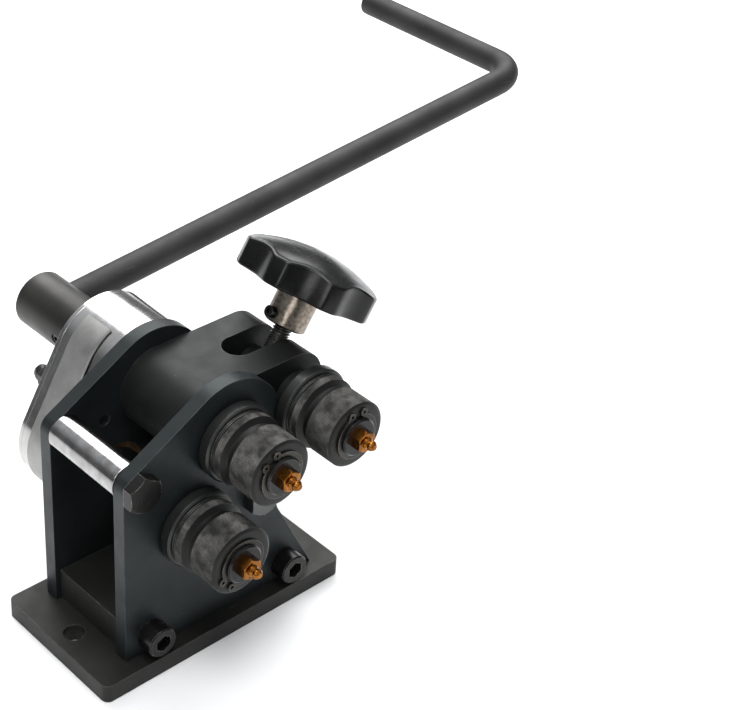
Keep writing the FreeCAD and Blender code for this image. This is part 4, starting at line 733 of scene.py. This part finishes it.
def make_crank_rod():
    along = Vector((math.cos(CRANK_LIFT), 0, math.sin(CRANK_LIFT)))
    side = Vector((-math.sin(CRANK_LIFT), 0, math.cos(CRANK_LIFT)))
    line = crank_line(along, Vector((0, 1, 0)))
    (first, setting_out), (last, ending) = line[0], line[-1]
    rows = [(first + setting_out * inset, setting_out, size) for inset, size in CRANK_CAP]
    rows += [(spot, heading, CRANK_RADIUS) for spot, heading in line[1:-1]]
    rows += [(last - ending * inset, ending, size) for inset, size in reversed(CRANK_CAP)]
    vertices = []
    for spot, heading, size in rows:
        across = side.cross(heading).normalized()
        for i in range(CRANK_COLUMNS):
            angle = 2 * math.pi * i / CRANK_COLUMNS
            vertices.append(spot + across * (size * math.cos(angle)) + side * (size * math.sin(angle)))
    mesh = mesh_from("crank_rod_bent", vertices, ring_faces(len(rows), CRANK_COLUMNS))
    new_piece("crank_rod_bent", mesh, "crank_rod")
    smooth(mesh)


# Housing and its bare label strip

HOUSING_BACK, HOUSING_FRONT, HOUSING_BORE, HOUSING_RADIUS = 66.5 * MM, 33.0 * MM, 27.5 * MM, 30.0 * MM
BELT_STEPS = 72
LABEL_INNER, LABEL_OUTER, LABEL_FRONT, LABEL_REAR = 30.06 * MM, 30.6 * MM, 41.5 * MM, 60.5 * MM
# How far the strip's ends stand from the line of the shafts
LABEL_UPPER, LABEL_LOWER = 25.3 * MM, 17.0 * MM
LABEL_LIFT, LABEL_CURL, LABEL_BEVEL = 0.55 * MM, 2.5 * MM, 0.06 * MM
WRAP_STEPS, SLANT_STEPS, TAIL_STEPS = 30, 40, 40


def shaft_line():
    """Direction from the centre shaft to the lower one, and their distance."""
    toward = SHAFTS["lower"] - SHAFTS["center"]
    toward.y = 0
    return toward.normalized(), toward.length


def belt_outline(radius):
    """Points round the two shafts at one radius, from the centre shaft's side round to the lower one's."""
    toward, _ = shaft_line()
    heading = math.atan2(toward.z, toward.x)
    points = []
    for shaft, start in (("center", heading + math.pi / 2), ("lower", heading - math.pi / 2)):
        centre = SHAFTS[shaft]
        for k in range(BELT_STEPS + 1):
            angle = start + math.pi * k / BELT_STEPS
            points.append((centre.x + radius * math.cos(angle), centre.z + radius * math.sin(angle)))
    return points


def make_housing():
    rows = rounded_rows([
        (HOUSING_BORE, HOUSING_FRONT), (HOUSING_RADIUS, HOUSING_FRONT),
        (HOUSING_RADIUS, HOUSING_BACK), (HOUSING_BORE, HOUSING_BACK)], 0.4 * MM)
    vertices = [(x, y, z) for radius, y in rows for x, z in belt_outline(radius)]
    faces = ring_faces(len(rows), 2 * (BELT_STEPS + 1), closed=True)
    mesh = mesh_from("gear_housing_formed", vertices, faces)
    shade_flats(new_piece("gear_housing_formed", mesh, "gear_housing"))


def label_section():
    """The strip's section (radius, y), its front edge curled outward."""
    stations = [LABEL_FRONT + step * MM for step in (0, 0.3, 0.6, 1.0, 1.4, 1.9, 2.5)]
    stations += [LABEL_REAR - 0.2 * MM, LABEL_REAR]
    lifts = [LABEL_LIFT * max(0.0, 1 - (y - LABEL_FRONT) / LABEL_CURL) ** 2 for y in stations]
    inner = [(LABEL_INNER + lift, y) for y, lift in zip(stations, lifts)]
    outer = [(LABEL_OUTER + lift, y) for y, lift in zip(stations, lifts)]
    for end in (0, -1):
        outer[end] = (outer[end][0] - LABEL_BEVEL, outer[end][1])
    return inner + outer[::-1]


def make_label():
    """A bare metal strip bent over the housing's upper left, its front edge lifted a little."""
    toward, run = shaft_line()
    normal = Vector((toward.z, 0, -toward.x))
    top, low = (Vector((SHAFTS[shaft].x, 0, SHAFTS[shaft].z)) for shaft in ("center", "lower"))
    upper, lower = (math.acos(reach / LABEL_OUTER) for reach in (LABEL_UPPER, LABEL_LOWER))
    path = [(top, -upper * (1 - k / WRAP_STEPS)) for k in range(WRAP_STEPS + 1)]
    path += [(top + toward * (run * k / SLANT_STEPS), 0) for k in range(1, SLANT_STEPS)]
    path += [(low, lower * k / TAIL_STEPS) for k in range(TAIL_STEPS + 1)]
    section = label_section()
    vertices = []
    for centre, turn in path:
        outward = normal * math.cos(turn) + toward * math.sin(turn)
        vertices += [centre + outward * radius + Vector((0, y, 0)) for radius, y in section]
    width = len(section)
    faces = ring_faces(len(path), width)
    faces += [tuple(range(width)), tuple(len(vertices) - 1 - i for i in range(width))]
    shade_flats(new_piece("label_strip", mesh_from("label_strip", vertices, faces), "label_plate"))


# Build

# How far the edges of a CAD node are rounded, in millimetres
SOFTENED = {
    "base_plate": 0.25, "front_plate": 0.22, "rear_plate": 0.22, "spacer_block": 0.22, "pressure_arm": 0.3,
    "side_cap_screws": 0.2, "base_screws": 0.2, "tie_tube": 0.3, "tie_bolt": 0.2, "anchor_bolt": 0.2,
    "anchor_tubes": 0.3, "housing_cover": 0.3, "housing_studs": 0.15, "housing_nuts": 0.2, "crank_hub": 0.3,
    "hub_set_screws": 0.12, "trunnion_block": 0.3, "swivel_nut": 0.3, "collar_set_screw": 0.15,
    "pressure_spacer": 0.2,
}
for part, width in (("_shaft", 0.15), ("_circlip", 0.12), ("_nipple", 0.12)):
    for shaft in SHAFTS:
        SOFTENED[shaft + part] = width

make_camera()
make_studio()
for shaft in SHAFTS:
    make_roller_set(shaft)
make_adjusting_screw()
make_collar()
make_knob()
make_crank_rod()
make_housing()
make_label()
for node, width in SOFTENED.items():
    soften(node, width * MM)
replaced = set(SOFTENED)
replaced |= {"adjusting_screw", "knob_collar", "knob", "crank_rod", "gear_housing", "label_plate"}
replaced |= {shaft + part for shaft in SHAFTS for part in ("_flange", "_roller")}
for node, piece in frame["nodes"].items():
    if node not in replaced:
        for slot in piece.material_slots:
            slot.material = finish_for(node)

[[list(corner) for corner in box] for box in (cad_box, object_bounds())]
